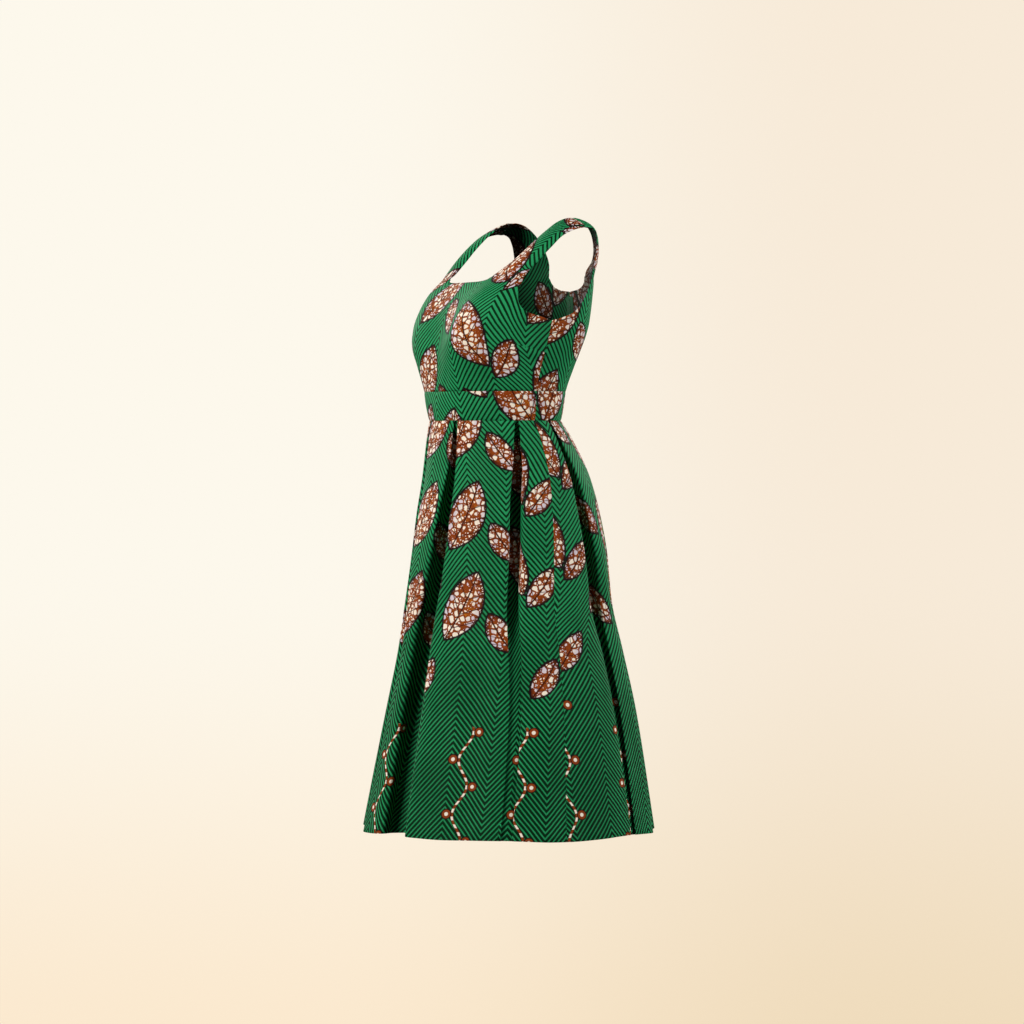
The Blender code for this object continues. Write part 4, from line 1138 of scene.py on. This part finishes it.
def leaves(add, colour, place, u, v, ragged, leaf):
    """One family of outlined, crackled leaves with dark veins, over the colour below."""
    distance, along, aside = leaf_distance(add, u, v, leaf)
    distance = add("Math", (distance, ragged), operation="ADD")
    outline = add("MapRange", (distance, *LEAF_OUTLINE, 1.0, 0.0), interpolation_type="SMOOTHSTEP")
    colour = add("Mix", {0: outline, 6: colour, 7: linear(INK)}, 2, data_type="RGBA")
    from_midrib = add("Math", (aside,), operation="ABSOLUTE")
    slant = add("Math", (from_midrib, VEIN_SLANT), operation="MULTIPLY")
    vein = add("Math", (along, slant), operation="SUBTRACT")
    vein = add("Math", (vein, leaf.long * VEIN_PITCH_SHARE), operation="DIVIDE")
    vein = add("Math", (vein,), operation="FRACT")
    vein = add("Math", (vein, 0.5), operation="SUBTRACT")
    vein = add("Math", (vein,), operation="ABSOLUTE")
    vein = add("MapRange", (vein, 0.03, 0.065, 0.85, 0.0), interpolation_type="SMOOTHSTEP")
    midrib = add("MapRange", (from_midrib, *LEAF_MIDRIB, 1.0, 0.0), interpolation_type="SMOOTHSTEP")
    veins = add("Math", (midrib, vein), operation="MAXIMUM")
    crackle = crackled(add, place, distance)
    fill = add("Mix", {0: veins, 6: crackle, 7: linear(VEIN)}, 2, data_type="RGBA")
    inside = add("MapRange", (distance, *LEAF_FILL, 1.0, 0.0), interpolation_type="SMOOTHSTEP")
    return add("Mix", {0: inside, 6: colour, 7: fill}, 2, data_type="RGBA")


def vines(add, colour, u, v, v_print, bleed):
    """Dashed stems and ringed berries near the hem, over the colour below."""
    stem, berry = vine_distance(add, u, v)
    dash = add("Math", (v_print, bleed), operation="ADD")
    dash = add("Math", (dash, 2 * pi / VINE_DASH), operation="MULTIPLY")
    dash = add("Math", (dash,), operation="SINE")
    dash = add("MapRange", (dash, *VINE_DASH_EDGE), interpolation_type="SMOOTHSTEP")
    vine = add("Mix", {0: dash, 6: linear(BROWN), 7: linear(CREAM)}, 2, data_type="RGBA")
    berry_ring = add("MapRange", (berry, *BERRY_RING), interpolation_type="SMOOTHSTEP")
    fruit = add("Mix", {0: berry_ring, 6: linear(CREAM), 7: linear(BROWN)}, 2, data_type="RGBA")
    for distance, edge, paint in ((stem, STEM_OUTLINE, linear(INK)), (stem, STEM_FILL, vine),
                                  (berry, BERRY_OUTLINE, linear(INK)), (berry, BERRY_FILL, fruit)):
        share = add("MapRange", (distance, *edge, 1.0, 0.0), interpolation_type="SMOOTHSTEP")
        colour = add("Mix", {0: share, 6: colour, 7: paint}, 2, data_type="RGBA")
    return colour


def wax_print(name, shift_across, shift_up, shade=None):
    """Cotton, plain woven and resist printed, washed until the wax's glaze is gone.

    To the eye it is a dull cloth whose colours have slightly bled and ragged edges.  shade darkens
    the copy for the inner faces: a little for the duller wrong side, most of it painted shade inside the
    dress.
    """
    wiring = Wiring(name)
    add = wiring.add
    uv = add("UVMap", uv_map="print")
    loose = add("TexNoise", {"Vector": uv, "Scale": 1 / PRINT_BEND, "Detail": 2.0}, "Color")
    loose = add("VectorMath", (loose, (0.5, 0.5, 0.5)), operation="SUBTRACT")
    loose = add("VectorMath", (loose, (PRINT_BEND_SHIFT, PRINT_BEND_SHIFT, 0.0)), operation="MULTIPLY")
    place = add("VectorMath", (uv, loose), operation="ADD")
    u, v, _ = add("SeparateXYZ", (place,), None)
    bleed = add("TexNoise", {"Vector": uv, "Scale": 1 / LINE_BLEED, "Detail": 1.0})
    bleed = add("Math", (bleed, 0.5), operation="SUBTRACT")
    bleed = add("Math", (bleed, LINE_BLEED_SHIFT), operation="MULTIPLY")
    colour = green_ground(add, uv, u, v, bleed)

    motif_u = add("Math", (u, shift_across), operation="ADD")
    motif_v = add("Math", (v, shift_up), operation="ADD")
    ragged = add("TexNoise", {"Vector": uv, "Scale": 1 / MOTIF_RAG, "Detail": 1.0})
    ragged = add("Math", (ragged, 0.5), operation="SUBTRACT")
    ragged = add("Math", (ragged, MOTIF_RAG_SHIFT), operation="MULTIPLY")
    for leaf in LEAVES:
        colour = leaves(add, colour, place, motif_u, motif_v, ragged, leaf)
    colour = vines(add, colour, motif_u, motif_v, v, bleed)
    # Darkens the colour: painted shade of the inner faces, with a little real dullness of the wrong side.
    if shade:
        colour = add("VectorMath", (colour, shade), operation="MULTIPLY")

    across, up, _ = add("SeparateXYZ", (uv,), None)
    warp = add("Math", (across, 2 * pi / THREAD_PITCH), operation="MULTIPLY")
    warp = add("Math", (warp,), operation="SINE")
    weft = add("Math", (up, 2 * pi / THREAD_PITCH), operation="MULTIPLY")
    weft = add("Math", (weft,), operation="SINE")
    weave = add("Math", (warp, weft), operation="MULTIPLY")
    creasing = add("TexNoise", {"Vector": uv, "Scale": 1 / WORN_CREASE, "Detail": 3.0})
    creased = add("Bump", {"Height": creasing, "Strength": 0.16, "Distance": 0.004})
    woven = add("Bump", {"Height": weave, "Strength": 0.10, "Distance": 0.0002, "Normal": creased})
    worn = add("TexNoise", {"Vector": uv, "Scale": 1 / ROUGH_PATCH, "Detail": 2.0})
    dull = add("MapRange", (worn, 0.3, 0.7, 0.62, 0.74), interpolation_type="SMOOTHSTEP")
    wiring.put(wiring.shader, {"Base Color": colour, "Roughness": dull, "Normal": woven,
                               "Specular IOR Level": 0.07})
    return wiring.material


def woven_tape(name):
    """Polyester tape in a fine twill: matt, with slanting ribs 0.7 mm apart."""
    wiring = Wiring(name)
    add = wiring.add
    uv = add("UVMap", uv_map="print")
    u, v, _ = add("SeparateXYZ", (uv,), None)
    slant = add("Math", (u, v), operation="ADD")
    slant = add("Math", (slant, 2 * pi / TWILL_PITCH), operation="MULTIPLY")
    twill = add("Math", (slant,), operation="SINE")
    # The colour is lighter on each twill rib and darker in the groove between: painted shade of the ribs.
    rib = add("MapRange", (twill, -1.0, 1.0), interpolation_type="SMOOTHSTEP")
    colour = add("Mix", {0: rib, 6: linear("#0A3D24"), 7: linear("#14603A")}, 2, data_type="RGBA")
    ribbed = add("Bump", {"Height": twill, "Strength": 0.3, "Distance": 0.0002})
    wiring.put(wiring.shader, {"Base Color": colour, "Roughness": 0.85, "Normal": ribbed})
    return wiring.material


def coil_nylon(name):
    """Drawn nylon, dyed green: smooth, with a soft shine and barely uneven colour."""
    wiring = Wiring(name)
    add = wiring.add
    place = add("TexCoord", output="Object")
    dye = add("TexNoise", {"Vector": place, "Scale": 1 / NYLON_GRAIN, "Detail": 2.0})
    colour = add("Mix", {0: dye, 6: linear("#0B4A2A"), 7: linear("#17693F")}, 2, data_type="RGBA")
    wiring.put(wiring.shader, {"Base Color": colour, "Roughness": 0.38})
    return wiring.material


def green_enamel(name):
    """Sprayed enamel on cast zinc: a glossy green skin with a few small chips down to grey metal."""
    wiring = Wiring(name)
    add = wiring.add
    place = add("TexCoord", output="Object")
    peel = add("TexNoise", {"Vector": place, "Scale": 1 / ENAMEL_PEEL, "Detail": 1.0})
    chip = add("TexNoise", {"Vector": place, "Scale": 1 / ENAMEL_CHIP, "Detail": 3.0})
    chip = add("MapRange", (chip, 0.66, 0.69), interpolation_type="SMOOTHSTEP")
    colour = add("Mix", {0: peel, 6: linear("#0B5A2F"), 7: linear("#147442")}, 2, data_type="RGBA")
    colour = add("Mix", {0: chip, 6: colour, 7: linear("#8F8D86")}, 2, data_type="RGBA")
    metal = add("Math", (chip, 0.9), operation="MULTIPLY")
    gloss = add("MapRange", (peel, 0.2, 0.8, 0.26, 0.38), interpolation_type="SMOOTHSTEP")
    uneven = add("Bump", {"Height": peel, "Strength": 0.08, "Distance": 0.0002})
    wiring.put(wiring.shader, {"Base Color": colour, "Metallic": metal, "Roughness": gloss,
                               "Coat Weight": 0.5, "Normal": uneven})
    return wiring.material


# ---------------------------------------------------------------- studio
CAMERA_AZIMUTH = 64.0
CAMERA_DISTANCE = 8.2
CAMERA_LENS, SENSOR_WIDTH = 178.45, 36.0
AIM_RIGHT, AIM_HEIGHT, CAMERA_HEIGHT = -0.0481, -0.4685, -0.3683
FLOOR = -1.62
COVE_FLOOR_RADIUS, COVE_TURN_RADIUS, COVE_WALL = 8.6, 2.4, 6.0
COVE_TURN_STEPS, COVE_SIDES = 12, 96
LAMPS_AIM = Vector((0, 0, -0.5))
WORLD_STRENGTH = 0.045


def toward_camera():
    turn = radians(CAMERA_AZIMUTH)
    return Vector((cos(turn), sin(turn), 0)), Vector((sin(turn), -cos(turn), 0))


def build_camera():
    right, near = toward_camera()
    data = bpy.data.cameras.new("camera")
    data.lens, data.sensor_width = CAMERA_LENS, SENSOR_WIDTH
    data.clip_start, data.clip_end = 0.1, 60.0
    camera = bpy.data.objects.new("camera", data)
    bpy.context.scene.collection.objects.link(camera)
    camera.location = right * AIM_RIGHT + near * CAMERA_DISTANCE + Vector((0, 0, CAMERA_HEIGHT))
    aim = right * AIM_RIGHT + Vector((0, 0, AIM_HEIGHT))
    camera.rotation_mode = "QUATERNION"
    camera.rotation_quaternion = (aim - camera.location).to_track_quat("-Z", "Y")
    bpy.context.scene.camera = camera


def cove_paper(name):
    """Background paper lit by its own glow: matt cream, with painted shade that deepens it downward and to
    the camera's right.
    """
    wiring = Wiring(name)
    add = wiring.add
    place = add("TexCoord", output="Object")
    right, _ = toward_camera()
    x, y, up = add("SeparateXYZ", (place,), None)
    x_squared = add("Math", (x, x), operation="MULTIPLY")
    y_squared = add("Math", (y, y), operation="MULTIPLY")
    squares = add("Math", (x_squared, y_squared), operation="ADD")
    away = add("Math", (squares,), operation="SQRT")
    away = add("Math", (away, CAMERA_DISTANCE), operation="ADD")
    x_right = add("Math", (x, right.x), operation="MULTIPLY")
    y_right = add("Math", (y, right.y), operation="MULTIPLY")
    sideways = add("Math", (x_right, y_right), operation="ADD")
    sideways = add("Math", (sideways, away), operation="DIVIDE")
    sideways = add("MapRange", (sideways, -0.045, 0.070), interpolation_type="SMOOTHSTEP")
    low = add("Math", (up, CAMERA_HEIGHT), operation="SUBTRACT")
    low = add("Math", (low, away), operation="DIVIDE")
    low = add("MapRange", (low, -0.128, -0.018, 1.0, 0.0), interpolation_type="SMOOTHSTEP")
    # The second colour of each pair, and the lower pair as a whole, are painted shade of the paper to the
    # right and downward.
    upper = add("Mix", {0: sideways, 6: linear("#FDF8EC"), 7: linear("#F7EAD8")}, 2, data_type="RGBA")
    lower = add("Mix", {0: sideways, 6: linear("#FBE8CD"), 7: linear("#EFDBBB")}, 2, data_type="RGBA")
    glow = add("Mix", {0: low, 6: upper, 7: lower}, 2, data_type="RGBA")
    wiring.put(wiring.shader, {"Base Color": linear("#000000"), "Roughness": 1.0, "Specular IOR Level": 0.0,
                               "Emission Color": glow, "Emission Strength": 1.0})
    return wiring.material


def build_cove():
    """Round studio floor that curves up into a wall."""
    profile = [(0.0, 0.0), (COVE_FLOOR_RADIUS, 0.0)]
    profile += [(COVE_FLOOR_RADIUS + COVE_TURN_RADIUS * sin(a), COVE_TURN_RADIUS * (1 - cos(a)))
                for a in np.linspace(0, pi / 2, COVE_TURN_STEPS + 1)[1:]]
    profile.append((COVE_FLOOR_RADIUS + COVE_TURN_RADIUS, COVE_WALL))
    radius, rise = np.array(profile).T
    turns = np.linspace(0, 2 * pi, COVE_SIDES + 1)[:, None]
    height = np.broadcast_to(rise + FLOOR, (COVE_SIDES + 1, len(rise)))
    grid = np.stack((radius * np.cos(turns), radius * np.sin(turns), height), axis=-1)
    panel = Panel()
    panel.add(grid, grid[..., :2], flip=True)
    cove = panel.build("studio_cove", 0)
    cove.data.materials.append(cove_paper("cove_paper"))
    cove.visible_diffuse = cove.visible_glossy = False


Lamp = namedtuple("Lamp", "name right near up size power colour")
LAMPS = (
    Lamp("left_softbox", -3.1, 2.5, 0.9, 1.6, 148.0, "#FFFBF4"),
    Lamp("right_softbox", 3.6, 1.5, 0.7, 1.7, 112.0, "#FFFDF8"),
    Lamp("top", 0.0, 0.3, 3.2, 2.2, 24.0, "#FFFFFF"),
    Lamp("back_left", -2.4, -3.2, 0.9, 2.0, 92.0, "#FFFBF4"),
    Lamp("back_right", 2.6, -3.0, 0.9, 2.0, 74.0, "#FFFBF4"),
)


def build_lamps():
    right, near = toward_camera()
    for lamp in LAMPS:
        data = bpy.data.lights.new(lamp.name, "AREA")
        data.size, data.energy, data.color = lamp.size, lamp.power, linear(lamp.colour)[:3]
        made = bpy.data.objects.new(lamp.name, data)
        bpy.context.scene.collection.objects.link(made)
        made.location = right * lamp.right + near * lamp.near + Vector((0, 0, lamp.up))
        made.rotation_mode = "QUATERNION"
        made.rotation_quaternion = (LAMPS_AIM - made.location).to_track_quat("-Z", "Y")
    world = bpy.data.worlds.new("studio")
    bpy.context.scene.world = world
    world.use_nodes = True
    backdrop = world.node_tree.nodes["Background"]
    backdrop.inputs["Color"].default_value = linear("#FFF8EC")
    backdrop.inputs["Strength"].default_value = WORLD_STRENGTH


# ---------------------------------------------------------------- the dress
def finish_piece(made, name, shifts, node):
    """Prints a piece of cloth.  shifts place the motifs on it, across and up."""
    made.data.materials.append(wax_print(f"printed_cotton_{name}", *shifts))
    # The inner faces take a darkened copy of the print: mostly painted shade, with a little real dullness of
    # the wrong side.
    made.data.materials.append(wax_print(f"printed_cotton_{name}_inner_dull_and_shaded", *shifts, WRONG_SIDE_DULLING_AND_SHADE))
    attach(made, "dress")
    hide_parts(node)


def seam_at(height):
    return column(SIDE_SEAM, "angle", height)


def seam_gap(height):
    return np.degrees(SEAM_GAP / 2 / column(SKIRT, "half_width", height))


def build_dress():
    side = BODICE_SIDE[0].angle
    front = build_front_bodice()
    finish_piece(front, "front_bodice", (0.075, 0.012), "bodice_front")
    above = {}
    for word, way, shift in (("left", 1, 0.031), ("right", -1, 0.094)):
        back = above[word] = build_back_bodice(f"back_bodice_{word}_cloth", way)
        finish_piece(back, f"back_bodice_{word}", (shift, 0.055), f"bodice_back_{word}")
    band = build_band("front_band_cloth", -side, side)
    finish_piece(band, "front_band", (0.012, 0.118), "band_front")
    band_left = build_band("back_band_left_cloth", side, CENTRE_BACK)
    band_right = build_band("back_band_right_cloth", -CENTRE_BACK, -side)
    for made, word in ((band_left, "left"), (band_right, "right")):
        finish_piece(made, f"back_band_{word}", (0.070, 0.030), f"band_back_{word}")
        above[word] = made
    skirt = build_skirt("front_skirt_cloth", FRONT_FOLDS, FRONT_GUIDES, FRONT_CREASES,
                        lambda h: seam_gap(h) - seam_at(h), lambda h: seam_at(h) - seam_gap(h))
    finish_piece(skirt, "front_skirt", (0.044, 0.090), "skirt_front")
    for word, folds, creases, mirrored in (("left", BACK_FOLDS_LEFT, BACK_CREASES_LEFT, False),
                                           ("right", BACK_FOLDS_RIGHT, BACK_CREASES_RIGHT, True)):
        back = build_skirt(f"back_skirt_{word}_cloth", folds, BACK_GUIDES, creases,
                           lambda h: seam_at(h) + seam_gap(h), lambda h: CENTRE_BACK - seam_gap(h), mirrored)
        finish_piece(back, f"back_skirt_{word}", (0.052 if mirrored else 0.006, 0.046),
                     f"skirt_back_{word}")


def build_zip():
    tape_cloth, nylon = woven_tape("woven_polyester_tape"), coil_nylon("coil_nylon")
    coil = build_coil("zip_coil")
    coil.data.materials.append(nylon)
    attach(coil, "dress")
    for word, way in (("left", 1), ("right", -1)):
        tape = build_tape(f"zip_tape_{word}_cloth", way)
        tape.data.materials.append(tape_cloth)
        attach(tape, "dress")
        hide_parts("zip_tape")
    enamel = green_enamel("green_enamel")
    for name in ("zip_slider", "zip_pull"):
        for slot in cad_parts[name].material_slots:
            slot.material = enamel


build_camera()
build_cove()
build_lamps()
build_dress()
build_zip()
bpy.context.scene.view_settings.view_transform = "Standard"
